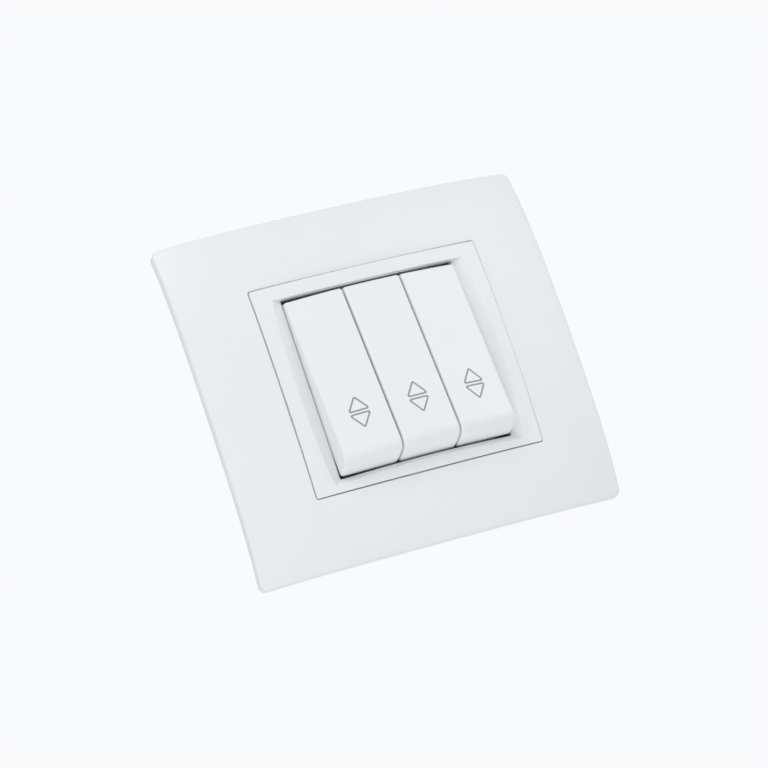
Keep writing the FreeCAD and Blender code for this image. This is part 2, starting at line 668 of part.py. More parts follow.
def make_moving_tips(x):
    tips = [
        rod_along_out(TIP_RADIUS, CONTACT_REAR_OUT - TIP_HEIGHT, CONTACT_REAR_OUT, x, side * TIP_PLACE)
        for side in (-1, 1)
    ]
    return Part.makeCompound(tips)


def closed_tip_out():
    """How far out the fixed tips' faces lie: just behind the moving tip's outer edge when closed."""
    tilt = math.radians(CONTACT_TILT)
    rise = CONTACT_REAR_OUT - TIP_HEIGHT - FULCRUM_OUT
    edge_out = FULCRUM_OUT + rise * math.cos(tilt) - (TIP_PLACE + TIP_RADIUS) * math.sin(tilt)
    return edge_out - TIP_CLOSED_GAP


def make_fixed_tips():
    tips = [
        rod_along_out(TIP_RADIUS, STRIP_FRONT_OUT, closed_tip_out(), x, side * TIP_PLACE)
        for x in GANG_PLACES for side in (-1, 1)
    ]
    return Part.makeCompound(tips)


def terminal_block(x, side, width):
    """A clamp block with a wire hole from the rear and a screw hole from the outside."""
    body = centred_block(
        x, width, CAVITY_REAR_OUT, BLOCK_FRONT_OUT, side * BLOCK_MIDDLE, BLOCK_HEIGHT
    )
    wire_hole = rod_along_out(
        WIRE_HOLE_RADIUS, CAVITY_REAR_OUT - 1, CAVITY_REAR_OUT + WIRE_HOLE_LENGTH,
        x, side * BLOCK_MIDDLE,
    )
    low, high = sorted((side * BLOCK_MIDDLE, side * (BLOCK_OUTER + 1)))
    thread = rod_along_z(
        TERMINAL_SCREW_RADIUS + THREAD_CLEARANCE, low, high, x, WIRE_HOLE_MIDDLE_OUT
    )
    return body, wire_hole, thread


def make_upper_terminal(x):
    """The upper traveller's terminal: its clamp block and the strip that carries the fixed contact."""
    body, wire_hole, thread = terminal_block(x, 1, BLOCK_WIDTH_WIDE)
    strip = block(
        x - CONTACT_WIDTH / 2, x + CONTACT_WIDTH / 2, BLOCK_FRONT_OUT, STRIP_FRONT_OUT,
        STRIP_END, BLOCK_OUTER,
    )
    return without(joined(body, strip), wire_hole, thread)


def make_lower_terminal(x):
    """The lower traveller's terminal, with its block to the left of the gang's middle."""
    block_x = x - BLOCK_OFFSET
    body, wire_hole, thread = terminal_block(block_x, -1, BLOCK_WIDTH)
    strip = block(
        x - CONTACT_WIDTH / 2, x + CONTACT_WIDTH / 2, BLOCK_FRONT_OUT, STRIP_FRONT_OUT,
        -BLOCK_INNER, -STRIP_END,
    )
    step = block(
        block_x - BLOCK_WIDTH / 2, x + CONTACT_WIDTH / 2, BLOCK_FRONT_OUT, STRIP_FRONT_OUT,
        -BLOCK_INNER - STRIP_THICK, -BLOCK_INNER + 2 * STRIP_THICK,
    )
    root = centred_block(
        block_x, BLOCK_WIDTH, BLOCK_FRONT_OUT, STRIP_FRONT_OUT, -BLOCK_MIDDLE, BLOCK_HEIGHT
    )
    common_x = x + BLOCK_OFFSET - BLOCK_WIDTH / 2
    keep_clear = block(
        common_x - 0.5, common_x + BLOCK_WIDTH, BLOCK_FRONT_OUT - 1, STRIP_FRONT_OUT + 1,
        -BLOCK_OUTER, -BLOCK_INNER + 0.5,
    )
    return without(joined(body, strip, step.cut(keep_clear), root), wire_hole, thread)


def make_common_terminal(x):
    """The common terminal: its block to the right, and a strip behind the fixed contacts that ends in
    the post on which the moving contact rocks."""
    block_x = x + BLOCK_OFFSET
    body, wire_hole, thread = terminal_block(block_x, -1, BLOCK_WIDTH)
    strip_front = BLOCK_FRONT_OUT - COMMON_STRIP_DROP
    strip = block(
        block_x - BLOCK_WIDTH / 2, block_x + BLOCK_WIDTH / 2 - 0.5,
        strip_front - STRIP_THICK, strip_front, -BLOCK_INNER - 0.1, 2 * FULCRUM_RADIUS,
    )
    post_half = CONTACT_WIDTH / 2 - 0.15
    arm = block(
        x - post_half, block_x, strip_front - STRIP_THICK, strip_front,
        -2 * FULCRUM_RADIUS, 2 * FULCRUM_RADIUS,
    )
    post = centred_block(
        x, 2 * post_half, strip_front - STRIP_THICK, FULCRUM_OUT, 0, 2 * FULCRUM_RADIUS
    )
    edge = rod_along_x(FULCRUM_RADIUS, x - post_half, x + post_half, FULCRUM_OUT, 0)
    return without(joined(body, strip, arm, post, edge), wire_hole, thread)


def terminal_places():
    """Where each clamp screw is: its x and which row it is in, 1 above and -1 below."""
    places = []
    for x in GANG_PLACES:
        places += [(x, 1), (x - BLOCK_OFFSET, -1), (x + BLOCK_OFFSET, -1)]
    return places


def make_terminal_screws():
    """The clamp screws of all the terminals, with slotted heads."""
    screws = []
    for x, side in terminal_places():
        tip = BLOCK_MIDDLE + WIRE_HOLE_RADIUS + 0.05
        under_head = BLOCK_OUTER + TERMINAL_HEAD_CLEARANCE
        shank = rod_along_z(TERMINAL_SCREW_RADIUS, tip, under_head + 0.1, x, WIRE_HOLE_MIDDLE_OUT)
        head = rod_along_z(
            TERMINAL_HEAD_RADIUS, under_head, under_head + TERMINAL_HEAD_HEIGHT,
            x, WIRE_HOLE_MIDDLE_OUT,
        )
        slot = centred_block(
            x, SCREW_SLOT_WIDTH, WIRE_HOLE_MIDDLE_OUT - FAR, WIRE_HOLE_MIDDLE_OUT + FAR,
            under_head + TERMINAL_HEAD_HEIGHT, 2 * SCREW_SLOT_DEPTH,
        )
        screw = without(joined(shank, head), slot)
        if side < 0:
            screw = screw.mirror(Vector(0, 0, 0), Vector(0, 0, 1))
        screws.append(screw)
    return Part.makeCompound(screws)


def housing_plan(out_low, out_high, inset=0.0):
    """The housing's outline with its corners cut off, so that it goes into a round wall box."""
    half_x, half_z, cut = HOUSING_WIDTH / 2 - inset, HOUSING_HEIGHT / 2 - inset, HOUSING_CHAMFER
    points = [
        (-half_x + cut, -half_z), (half_x - cut, -half_z), (half_x, -half_z + cut),
        (half_x, half_z - cut), (half_x - cut, half_z), (-half_x + cut, half_z),
        (-half_x, half_z - cut), (-half_x, -half_z + cut),
    ]
    corners = [Vector(x, -out_low, z) for x, z in points]
    face = Part.Face(Part.makePolygon(corners + corners[:1]))
    return face.extrude(Vector(0, out_low - out_high, 0))


def divider_places():
    return [(GANG_PLACES[i] + GANG_PLACES[i + 1]) / 2 for i in range(GANG_COUNT - 1)]


def housing_screw_places():
    return [(x, side * HOUSING_SCREW_PLACE) for x in divider_places() for side in (-1, 1)]


def make_housing_base():
    """The rear box, with walls between the gangs, wire entries behind and screw holes in its sides."""
    shell = without(
        housing_plan(HOUSING_REAR_OUT, -COVER_FLANGE),
        housing_plan(CAVITY_REAR_OUT, FAR, HOUSING_WALL),
    )
    dividers = [
        centred_block(
            x, HOUSING_DIVIDER, CAVITY_REAR_OUT - 0.1, -COVER_FLANGE, 0,
            HOUSING_HEIGHT - HOUSING_WALL,
        )
        for x in divider_places()
    ]
    bosses = [
        rod_along_out(BOSS_RADIUS, CAVITY_REAR_OUT - 0.1, -COVER_FLANGE, x, z)
        for x, z in housing_screw_places()
    ]
    body = joined(shell, *dividers, *bosses)
    holes = []
    for x, side in terminal_places():
        holes.append(rod_along_out(
            WIRE_HOLE_RADIUS + WIRE_ENTRY_CLEARANCE, HOUSING_REAR_OUT - 1, CAVITY_REAR_OUT + 0.01,
            x, side * BLOCK_MIDDLE,
        ))
        low, high = sorted((side * (BLOCK_OUTER + BLOCK_TO_WALL / 2), side * (HOUSING_HEIGHT / 2 + 1)))
        holes.append(rod_along_z(
            TERMINAL_HEAD_RADIUS + TERMINAL_HEAD_CLEARANCE, low, high, x, WIRE_HOLE_MIDDLE_OUT
        ))
    for x, z in housing_screw_places():
        holes.append(rod_along_out(
            HOUSING_SCREW_RADIUS + THREAD_CLEARANCE, SUPPORT_THICK - HOUSING_SCREW_LENGTH - 0.5, 1,
            x, z,
        ))
    return without(body, *holes)


def make_housing_cover():
    """The front cover, whose raised part goes through the support plate, with a boss in each rocker.
    The actuators' bearings are slots open to the rear, so that the springs hold the pins in them."""
    flange = housing_plan(-COVER_FLANGE, 0)
    raised = centred_block(
        0, COVER_RAISED_WIDTH, -COVER_FLANGE, COVER_RAISED_OUT, 0, COVER_RAISED_HEIGHT
    )
    boss_out = PIVOT_OUT + PIN_RADIUS + COVER_BOSS_ROOF
    bosses = [
        centred_block(x, COVER_BOSS_WIDTH, -COVER_FLANGE, boss_out, 0, COVER_RAISED_HEIGHT)
        for x in GANG_PLACES
    ]
    body = joined(flange, raised, *bosses)
    window_half = ACTUATOR_WIDTH / 2 + ACTUATOR_SIDE_GAP
    cuts = []
    for x in GANG_PLACES:
        cuts.append(centred_block(x, 2 * window_half, -FAR, FAR, 0, COVER_WINDOW_HEIGHT))
        bearing_half = window_half + BEARING_DEPTH
        bearing_radius = PIN_RADIUS + BEARING_CLEARANCE
        cuts.append(rod_along_x(bearing_radius, x - bearing_half, x + bearing_half, PIVOT_OUT, 0))
        cuts.append(centred_block(x, 2 * bearing_half, -FAR, PIVOT_OUT, 0, 2 * bearing_radius))
    for x, z in housing_screw_places():
        cuts.append(rod_along_out(HOUSING_SCREW_RADIUS + THREAD_CLEARANCE, -FAR, FAR, x, z))
    return without(body, *cuts)


def fixing_slot(z):
    """A fixing slot through the support plate, centred at a height."""
    straight = FIXING_SLOT_LENGTH - 2 * FIXING_SLOT_RADIUS
    low, high = -1, SUPPORT_THICK + 2
    slot = centred_block(0, 2 * FIXING_SLOT_RADIUS, low, high, z, straight)
    for side in (-1, 1):
        slot = slot.fuse(rod_along_out(FIXING_SLOT_RADIUS, low, high, 0, z + side * straight / 2))
    return slot


def clip_lug(sx, sz):
    """An upright lug of the plate, with an opening under its bar for a clip's hook."""
    inner = SKIRT_INNER_X + CLIP_CLEARANCE
    opening_top = SUPPORT_THICK + 2 * CLIP_CLEARANCE + CLIP_HOOK_LENGTH
    low, high = sorted((sx * inner, sx * (inner + LUG_THICK)))
    half = CLIP_WIDTH / 2 + CLIP_CLEARANCE
    middle = sz * CLIP_PLACE
    lug = block(
        low, high, 0, opening_top + LUG_BAR, middle - half - LUG_SIDE, middle + half + LUG_SIDE
    )
    return lug.cut(block(low - 1, high + 1, SUPPORT_THICK, opening_top, middle - half, middle + half))


def claw_lugs(sx):
    """Two lugs bent back from the plate, which hold a claw's hinge pin."""
    lugs = []
    for sz in (-1, 1):
        lug = centred_block(
            sx * CLAW_PIVOT_X, 2 * CLAW_LUG_REACH, CLAW_PIVOT_OUT - CLAW_LUG_REACH, 0.1,
            sz * (CLAW_WIDTH / 2 + CLAW_LUG_GAP + CLAW_LUG_THICK / 2), CLAW_LUG_THICK,
        )
        lugs.append(lug.cut(rod_along_z(
            CLAW_PIN_RADIUS + CLAW_PIN_CLEARANCE, -FAR, FAR, sx * CLAW_PIVOT_X, CLAW_PIVOT_OUT
        )))
    return lugs


def make_support_plate():
    """The steel plate on the wall, with two fixing slots, ribs, and lugs for the clips and claws."""
    plate = rectangle_prism(SUPPORT_WIDTH, SUPPORT_HEIGHT, SUPPORT_CORNER, 0, SUPPORT_THICK)
    rib_place = SUPPORT_WIDTH / 2 - 1.0
    rib_length = SUPPORT_HEIGHT - 4 * SUPPORT_CORNER
    pieces = []
    for side in (-1, 1):
        pieces.append(centred_block(
            side * rib_place, 1.0, 0, SUPPORT_THICK + SUPPORT_RIB_RISE, 0, rib_length
        ))
        pieces += [clip_lug(side, sz) for sz in (-1, 1)]
        pieces += claw_lugs(side)
    body = joined(plate, *pieces)
    cuts = [centred_block(
        0, COVER_RAISED_WIDTH + 2 * SUPPORT_WINDOW_CLEARANCE, -FAR, FAR,
        0, COVER_RAISED_HEIGHT + 2 * SUPPORT_WINDOW_CLEARANCE,
    )]
    for side in (-1, 1):
        cuts.append(fixing_slot(side * FIXING_SPACING / 2))
        cuts.append(rod_along_out(
            CLAW_SCREW_RADIUS + CLAW_SCREW_CLEARANCE, -FAR, FAR, side * CLAW_SCREW_X, 0
        ))
    for x, z in housing_screw_places():
        cuts.append(rod_along_out(HOUSING_SCREW_RADIUS + THREAD_CLEARANCE, -FAR, FAR, x, z))
    return without(body, *cuts)


def make_claw(sx):
    """A claw at rest against the housing: a fork with toothed ends, a foot that its screw pulls
    forward, and a hinge pin."""
    def mirrored(x_low, x_high, out_low, out_high, width):
        low, high = sorted((sx * x_low, sx * x_high))
        return block(low, high, out_low, out_high, -width / 2, width / 2)

    half_thick = CLAW_THICK / 2
    inner, outer = CLAW_PIVOT_X - half_thick, CLAW_PIVOT_X + half_thick
    foot_rear = CLAW_FOOT_FRONT_OUT - CLAW_THICK
    arm = mirrored(inner, outer, CLAW_REAR_OUT, CLAW_PIVOT_OUT, CLAW_WIDTH)
    foot = mirrored(inner, CLAW_FOOT_END, foot_rear, CLAW_FOOT_FRONT_OUT, CLAW_FOOT_WIDTH)
    teeth = mirrored(inner, outer + CLAW_TOOTH, CLAW_REAR_OUT, CLAW_REAR_OUT + CLAW_THICK, CLAW_WIDTH)
    half_pin = CLAW_WIDTH / 2 + CLAW_LUG_GAP + CLAW_LUG_THICK
    pin = rod_along_z(CLAW_PIN_RADIUS, -half_pin, half_pin, sx * CLAW_PIVOT_X, CLAW_PIVOT_OUT)
    fork_gap = mirrored(inner - 1, FAR, CLAW_REAR_OUT - 1, foot_rear, CLAW_FORK_GAP)
    screw_room = mirrored(
        CLAW_SCREW_X - CLAW_SCREW_ROOM, CLAW_SCREW_X + CLAW_SCREW_ROOM,
        foot_rear - 1, CLAW_FOOT_FRONT_OUT + 1, CLAW_FORK_GAP,
    )
    claw = without(joined(arm, foot, teeth, pin), fork_gap, screw_room)
    notches = [
        block(*sorted((sx * (outer + CLAW_TOOTH / 2), sx * FAR)), CLAW_REAR_OUT - 1,
              CLAW_REAR_OUT + 2 * CLAW_THICK, z - 0.4, z + 0.4)
        for z in (-CLAW_WIDTH / 2 + 1.2, CLAW_WIDTH / 2 - 1.2)
    ]
    return without(claw, *notches)


def make_claw_screw(sx):
    """The screw in front of the plate that pulls a claw's foot forward."""
    x = sx * CLAW_SCREW_X
    head_rear = SUPPORT_THICK + CLAW_SCREW_HEAD_GAP
    head_front = head_rear + CLAW_SCREW_HEAD_HEIGHT
    shank = rod_along_out(CLAW_SCREW_RADIUS, CLAW_SCREW_REAR_OUT, head_rear + 0.1, x, 0)
    head = rod_along_out(CLAW_SCREW_HEAD_RADIUS, head_rear, head_front, x, 0)
    slot = centred_block(
        x, FAR, head_front - SCREW_SLOT_DEPTH, head_front + 1, 0, SCREW_SLOT_WIDTH
    )
    return without(joined(shank, head), slot)


def make_housing_screws():
    """The screws that clamp the housing's base and cover to the support plate."""
    screws = []
    for x, z in housing_screw_places():
        shank = rod_along_out(
            HOUSING_SCREW_RADIUS, SUPPORT_THICK - HOUSING_SCREW_LENGTH, SUPPORT_THICK + 0.1, x, z
        )
        head_front = SUPPORT_THICK + HOUSING_SCREW_HEAD_HEIGHT
        head = rod_along_out(HOUSING_SCREW_HEAD_RADIUS, SUPPORT_THICK, head_front, x, z)
        slot = centred_block(
            x, FAR, head_front - SCREW_SLOT_DEPTH / 2, head_front + 1, z, SCREW_SLOT_WIDTH
        )
        screws.append(without(joined(shank, head), slot))
    return Part.makeCompound(screws)


def make_parts():
    """Every piece at rest: each rocker's lower end stands out, and its lower contact is closed."""
    parts = {
        "frame": make_frame(),
        "bezel": make_bezel(),
        "support_plate": make_support_plate(),
        "housing_base": make_housing_base(),
        "housing_cover": make_housing_cover(),
        "housing_screws": make_housing_screws(),
        "terminal_screws": make_terminal_screws(),
        "fixed_contact_tips": make_fixed_tips(),
        "claw_left": make_claw(-1),
        "claw_right": make_claw(1),
        "claw_screw_left": make_claw_screw(-1),
        "claw_screw_right": make_claw_screw(1),
    }
    for name, x in zip(GANG_NAMES, GANG_PLACES):
        with_rocker = {
            "rocker_" + name: make_rocker(x),
            "two_way_mark_" + name: mark_triangles(x, MARK_DEPTH),
            "actuator_" + name: make_actuator(x),
            "spring_" + name: make_spring(x),
        }
        for node, shape in with_rocker.items():
            parts[node] = turned(shape, -ROCKER_TILT, PIVOT_OUT)
        with_contact = {
            "moving_contact_" + name: make_moving_contact(x),
            "moving_tips_" + name: make_moving_tips(x),
        }
        for node, shape in with_contact.items():
            parts[node] = turned(shape, CONTACT_TILT, FULCRUM_OUT)
        parts["upper_terminal_" + name] = make_upper_terminal(x)
        parts["lower_terminal_" + name] = make_lower_terminal(x)
        parts["common_terminal_" + name] = make_common_terminal(x)
    return parts


def main():
    os.makedirs("parts", exist_ok=True)
    for node, shape in make_parts().items():
        box = shape.BoundBox
        print(
            f"{node:26s} solids {len(shape.Solids)} valid {shape.isValid()} volume {shape.Volume:9.2f}"
            f"  x {box.XMin:7.2f} {box.XMax:7.2f}  y {box.YMin:7.2f} {box.YMax:7.2f}"
            f"  z {box.ZMin:7.2f} {box.ZMax:7.2f}"
        )
        shape.exportStep(f"parts/{node}.step")


main()
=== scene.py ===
"""A white three-gang wall switch: domed cover frame, scooped bezel and three narrow rocker keys.

Everything is in metres in the switch's own frame: X to the right seen from the room, Z up, the room
on the -Y side and the wall's plane at y = 0. "out" is a distance in front of the wall, so out = -y.
"""

import json
import math

import bmesh
import bpy
from mathutils import Matrix, Vector


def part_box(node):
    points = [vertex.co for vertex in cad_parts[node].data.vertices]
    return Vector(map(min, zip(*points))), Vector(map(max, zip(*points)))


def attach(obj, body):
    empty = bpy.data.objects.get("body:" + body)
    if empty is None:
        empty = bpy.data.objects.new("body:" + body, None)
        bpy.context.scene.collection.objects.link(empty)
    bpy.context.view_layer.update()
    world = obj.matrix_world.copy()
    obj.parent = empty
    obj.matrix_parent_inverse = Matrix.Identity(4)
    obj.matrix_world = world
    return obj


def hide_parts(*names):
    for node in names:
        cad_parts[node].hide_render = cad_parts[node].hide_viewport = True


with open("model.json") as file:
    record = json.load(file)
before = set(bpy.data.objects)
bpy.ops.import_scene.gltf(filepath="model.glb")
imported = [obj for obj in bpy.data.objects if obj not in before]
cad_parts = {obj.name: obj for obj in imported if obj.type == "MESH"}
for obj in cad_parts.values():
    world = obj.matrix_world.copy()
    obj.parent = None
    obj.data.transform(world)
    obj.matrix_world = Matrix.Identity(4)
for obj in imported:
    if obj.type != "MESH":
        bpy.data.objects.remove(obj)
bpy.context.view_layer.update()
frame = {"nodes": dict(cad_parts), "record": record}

MM = 0.001
MERGE_DISTANCE = 1e-6
GANGS = ("left", "middle", "right")
TO_ROOM = Vector((0, -1, 0))

# Places of the nodes in the node editor
NODE_COLUMN = 190
NODE_ROW = 140
NODE_ROWS = 5

# The camera, as the photograph was taken: a long lens, from the left and from below
CAMERA_PLACE = (-0.28392, -0.66889, -0.15539)
CAMERA_RIGHT = (0.89713, -0.30677, -0.31787)
CAMERA_UP = (0.22252, -0.30778, 0.92507)
CAMERA_LENS = 157.03
CAMERA_NEAR = 0.05
CAMERA_FAR = 20.0
SENSOR_WIDTH = 36.0

# Cover frame, in millimetres
FRAME_WIDTH = 88.0
FRAME_HEIGHT = 79.1
FRAME_CORNER_RADIUS = 1.6
FRAME_SIDE_BOW = 0.13
FRAME_SHELL = 2.4
FRAME_CORNER_STANDOFF = 0.3
FRAME_SKIRT_INSET = 2.5
FRAME_SKIRT_WALL = 1.1
DOME_RISE = 3.8
DOME_FLATNESS = 0.6            # share of the fourth power in the dome's fall
WINDOW_WIDTH = 55.4
WINDOW_HEIGHT = 48.6
WINDOW_CORNER_RADIUS = 0.6
SMALLEST_CORNER_RADIUS = 0.4
LEDGE_DEPTH = 1.2
LEDGE_WIDTH = 1.0
COLLAR_WALL = 1.4
COLLAR_OUT = 4.6

# Rounded edges of the frame's section: inset and level in millimetres
WINDOW_EDGE = ((0, -0.2), (-0.02, -0.11), (-0.06, -0.045), (-0.12, -0.01), (-0.2, 0))
FRONT_EDGE = ((0.35, 0), (0.22, -0.025), (0.11, -0.09), (0.03, -0.2), (0, -0.35))
REAR_EDGE = ((0, 0.12), (0.04, 0.04), (0.12, 0))   # level in front of the shell's rear
FRONT_STEPS = 14
REAR_STEPS = 8
SIDE_SAMPLES = 56

# How far round the frame a place is, in sides; the nudge keeps a corner on its own side
SIDES = 4.0
CORNER_NUDGE = 1e-4
FRAME_MERGE_DISTANCE = 2e-6
FRAME_SHARP_ANGLE = 40.0
SMALLEST_REACH = 1e-9

# Screws, in millimetres: shank radius, head height, thread pitch and slot depth
SCREW_SIZES = {
    "terminal_screws": (1.0, 1.5, 0.4, 0.7),
    "housing_screws": (1.0, 1.0, 0.5, 0.35),
    "claw_screw_left": (1.25, 1.4, 0.5, 0.7),
    "claw_screw_right": (1.25, 1.4, 0.5, 0.7),
}
SCREW_SLOT_WIDTH = 0.7
SCREW_HEAD_ROUND = 0.22
LATHE_SEGMENTS = 32

# Screw threads: lengths in shares of the pitch, the tip's in shares of the core, steps for a turn
RIDGE_RADIUS = 0.3
RIDGE_SIDES = 3
THREAD_RUNOUT = 1.5
THREAD_START = 0.7
THREAD_STEPS = 20
TIP_RADIUS = 0.6
TIP_LENGTH = 0.4
SHOULDER = 0.3                 # share of the head's rounding
SLOT_REACH = 3.0               # share of the head's radius, to cut past both of its sides

# Springs, in millimetres
SPRING_RADIUS = 1.5
SPRING_WIRE_RADIUS = 0.3
SPRING_TURNS = 8.0
SPRING_STEPS = 28
SPRING_SHARP_ANGLE = 60.0
WIRE_SIDES = 10
END_TURN_SQUEEZE = 0.105       # how much closer the end turns lie
KEY_TILT = math.radians(7.0)

# Colours
COVER_WHITE = (0.865, 0.883, 0.884)
KEY_WHITE = (0.885, 0.892, 0.893)
MARK_GREY = (0.33, 0.33, 0.335)
ZINC = (0.60, 0.62, 0.64)
DULL_ZINC = (0.36, 0.37, 0.38)
HOUSING_GREY = (0.66, 0.66, 0.63)
CAP_GREY = (0.16, 0.175, 0.19)
ACTUATOR_IVORY = (0.78, 0.77, 0.72)
SPRING_STEEL = (0.50, 0.50, 0.51)
DULL_STEEL = (0.25, 0.24, 0.23)
BRASS = (0.72, 0.54, 0.24)
DULL_BRASS = (0.42, 0.27, 0.11)
CONTACT_SILVER = (0.80, 0.79, 0.77)
DULL_SILVER = (0.42, 0.38, 0.33)
DUST = (0.62, 0.61, 0.58)
FLOOR_GREY = (0.86, 0.87, 0.88)
BACKGROUND = (0.947, 0.956, 0.973)
WORLD_LIGHT = (0.93, 0.96, 1.0)

# Textures: a scale is in repeats per metre, and a span is the part of the noise that an effect
# fades in over
FLOW_SCALE = 38.0
FLOW_SPAN = (0.3, 0.7)
FLOW_DISTORTION = 1.2
GRAIN_ROUGHNESS = 0.03
DUST_FILM_SCALE = 260.0
DUST_FILM_SPAN = (0.45, 0.75)
DUST_PATCH_SPAN = (0.62, 0.7)
DUST_SPECK_SCALE = 1400.0
DUST_SPECK_SPAN = (0.02, 0.09)
DUST_ROUGHNESS = 0.8
STREAK_SCALE = 2500.0
STREAK_SPAN = (0.3, 0.7)
STREAK_SHADES = (0.9, 1.08)
STREAK_ROUGHNESS = 0.06
TARNISH_SCALE = 120.0
TARNISH_SPAN = (0.4, 0.75)
TARNISH_DISTORTION = 0.6
TARNISH_ROUGHNESS = 0.4
PIT_SCALE = 900.0
PIT_SPAN = (0.05, 0.2)
PIT_TARNISH = 0.35
PIT_DEPTH = 0.5

RELIEF_DEPTH = 0.00002         # metres
METAL_BUMP = 0.25
PLASTIC_IOR = 1.5
EVEN = (1, 1, 1)               # a metal without streaks
ALONG_Z = (1.0, 1.0, 0.06)     # streaks along an axis are noise that is stretched along it
ALONG_X = (0.08, 1.0, 1.0)

# Studio: the floor in metres, and each lamp's place, width, power and colour
FLOOR_HALF = 3.0
FLOOR_LEVEL = -1.0
WORLD_STRENGTH = 0.57
LAMPS = {
    "key lamp": ((-0.6, -1.1, 1.3), 0.9, 8.4, (1.0, 0.985, 0.97)),
    "front lamp": ((0.2, -1.2, 0.95), 0.8, 1.1, (1.0, 0.99, 0.98)),
    "right lamp": ((1.2, -1.1, 0.7), 1.0, 4.4, (0.98, 0.99, 1.0)),
    "low lamp": ((-0.3, -0.35, -0.95), 0.5, 3.1, (0.96, 0.98, 1.0)),
    "left lamp": ((-1.25, -0.35, -0.15), 0.5, 1.5, (0.97, 0.985, 1.0)),
    "rear lamp": ((0.5, 1.4, 0.8), 1.2, 8.0, (1.0, 1.0, 1.0)),
}


class Tree:
    """Adds nodes to a node tree and links what is passed to their sockets."""

    def __init__(self, tree):
        self.tree = tree
        self.count = 0

    def new_node(self, kind, **settings):
        node = self.tree.nodes.new(kind)
        node.location = (self.count * NODE_COLUMN, -(self.count % NODE_ROWS) * NODE_ROW)
        self.count += 1
        for name, value in settings.items():
            setattr(node, name, value)
        return node

    def add(self, kind, output=0, inputs=None, **settings):
        """A node with its inputs filled, given by the output that is used."""
        node = self.new_node(kind, **settings)
        for socket, value in (inputs or {}).items():
            self.plug(node.inputs[socket], value)
        return node.outputs[output]

    def plug(self, socket, value):
        if isinstance(value, bpy.types.NodeSocket):
            self.tree.links.new(value, socket)
        else:
            socket.default_value = value

    def math(self, operation, first, second=0.0, clamp=False):
        return self.add("ShaderNodeMath", operation=operation, use_clamp=clamp,
                        inputs={0: first, 1: second})

    def total(self, *terms):
        result = terms[0]
        for term in terms[1:]:
            result = self.math("ADD", result, term)
        return result

    def product(self, *terms):
        result = terms[0]
        for term in terms[1:]:
            result = self.math("MULTIPLY", result, term)
        return result

    def less(self, value, amount):
        return self.math("SUBTRACT", value, amount)

    def scaled(self, value, low, high, from_low=0.0, from_high=1.0):
        return self.add("ShaderNodeMapRange", inputs={
            "Value": value, "From Min": from_low, "From Max": from_high,
            "To Min": low, "To Max": high,
        })

    def vector(self, x=0.0, y=0.0, z=0.0):
        return self.add("ShaderNodeCombineXYZ", inputs={"X": x, "Y": y, "Z": z})

    def parts_of(self, vector):
        node = self.add("ShaderNodeSeparateXYZ", inputs={"Vector": vector}).node
        return node.outputs["X"], node.outputs["Y"], node.outputs["Z"]

    def mix_colour(self, factor, first, second):
        return self.add("ShaderNodeMix", output="Result", data_type="RGBA",
                        inputs={"Factor": factor, "A": first, "B": second})

    def choose(self, index, values):
        """One of several values, by a whole number."""
        node = self.new_node("GeometryNodeIndexSwitch", data_type="FLOAT")
        while len(node.index_switch_items) < len(values):
            node.index_switch_items.new()
        self.plug(node.inputs["Index"], index)
        for place, value in enumerate(values):
            self.plug(node.inputs[str(place)], value)
        return node.outputs["Output"]

    def named(self, name, kind="FLOAT"):
        return self.add("GeometryNodeInputNamedAttribute", inputs={"Name": name}, data_type=kind)

    def join(self, *shapes):
        node = self.new_node("GeometryNodeJoinGeometry")
        for shape in reversed(shapes):
            self.tree.links.new(shape, node.inputs["Geometry"])
        return node.outputs["Geometry"]

    def with_sharp_edges(self, shape, degrees=30.0):
        """Smooth shading, broken at edges that turn by more than the angle."""
        smooth = self.add("GeometryNodeSetShadeSmooth", domain="FACE", inputs={
            "Geometry": shape, "Shade Smooth": True})
        angle = self.add("GeometryNodeInputMeshEdgeAngle")
        is_sharp = self.add("FunctionNodeCompare", operation="GREATER_THAN", data_type="FLOAT",
                            inputs={0: angle, 1: math.radians(degrees)})
        return self.add("GeometryNodeSetShadeSmooth", domain="EDGE", inputs={
            "Geometry": smooth, "Selection": is_sharp, "Shade Smooth": False})


def opaque(colour):
    return (*colour, 1.0)


# Shapes that repeat or follow a rule

def new_shape_tree(name, inputs):
    """An empty geometry tree that takes a seed mesh, named sizes and a finish."""
    group = bpy.data.node_groups.new(name, "GeometryNodeTree")
    group.interface.new_socket("Seed", in_out="INPUT", socket_type="NodeSocketGeometry")
    for size, default in inputs.items():
        kind = "NodeSocketInt" if isinstance(default, int) else "NodeSocketFloat"
        item = group.interface.new_socket(size, in_out="INPUT", socket_type=kind)
        item.default_value = default
    group.interface.new_socket("Finish", in_out="INPUT", socket_type="NodeSocketMaterial")
    group.interface.new_socket("Shape", in_out="OUTPUT", socket_type="NodeSocketGeometry")
    source = group.nodes.new("NodeGroupInput")
    result = group.nodes.new("NodeGroupOutput")
    return group, Tree(group), source.outputs, result.inputs


def finish_tree(tree, given, result, shape):
    """Every shape tree ends in real geometry with its finish on it."""
    real = tree.add("GeometryNodeRealizeInstances", inputs={"Geometry": shape})
    tree.plug(result["Shape"], tree.add("GeometryNodeSetMaterial", inputs={
        "Geometry": real, "Material": given["Finish"]}))


def instances_on_seed(tree, given, shape, turn=0.0):
    """The shape, which stands along +Z, at each seed point and along that point's axis."""
    along = tree.add("FunctionNodeAlignRotationToVector", axis="Z", inputs={
        "Vector": tree.named("axis", "FLOAT_VECTOR")})
    spin = tree.add("FunctionNodeAxisAngleToRotation", inputs={
        "Axis": (0.0, 0.0, 1.0), "Angle": turn})
    turned = tree.add("FunctionNodeRotateRotation", rotation_space="LOCAL", inputs={
        "Rotation": along, "Rotate By": spin})
    return tree.add("GeometryNodeInstanceOnPoints", inputs={
        "Points": given["Seed"], "Instance": shape, "Rotation": turned})


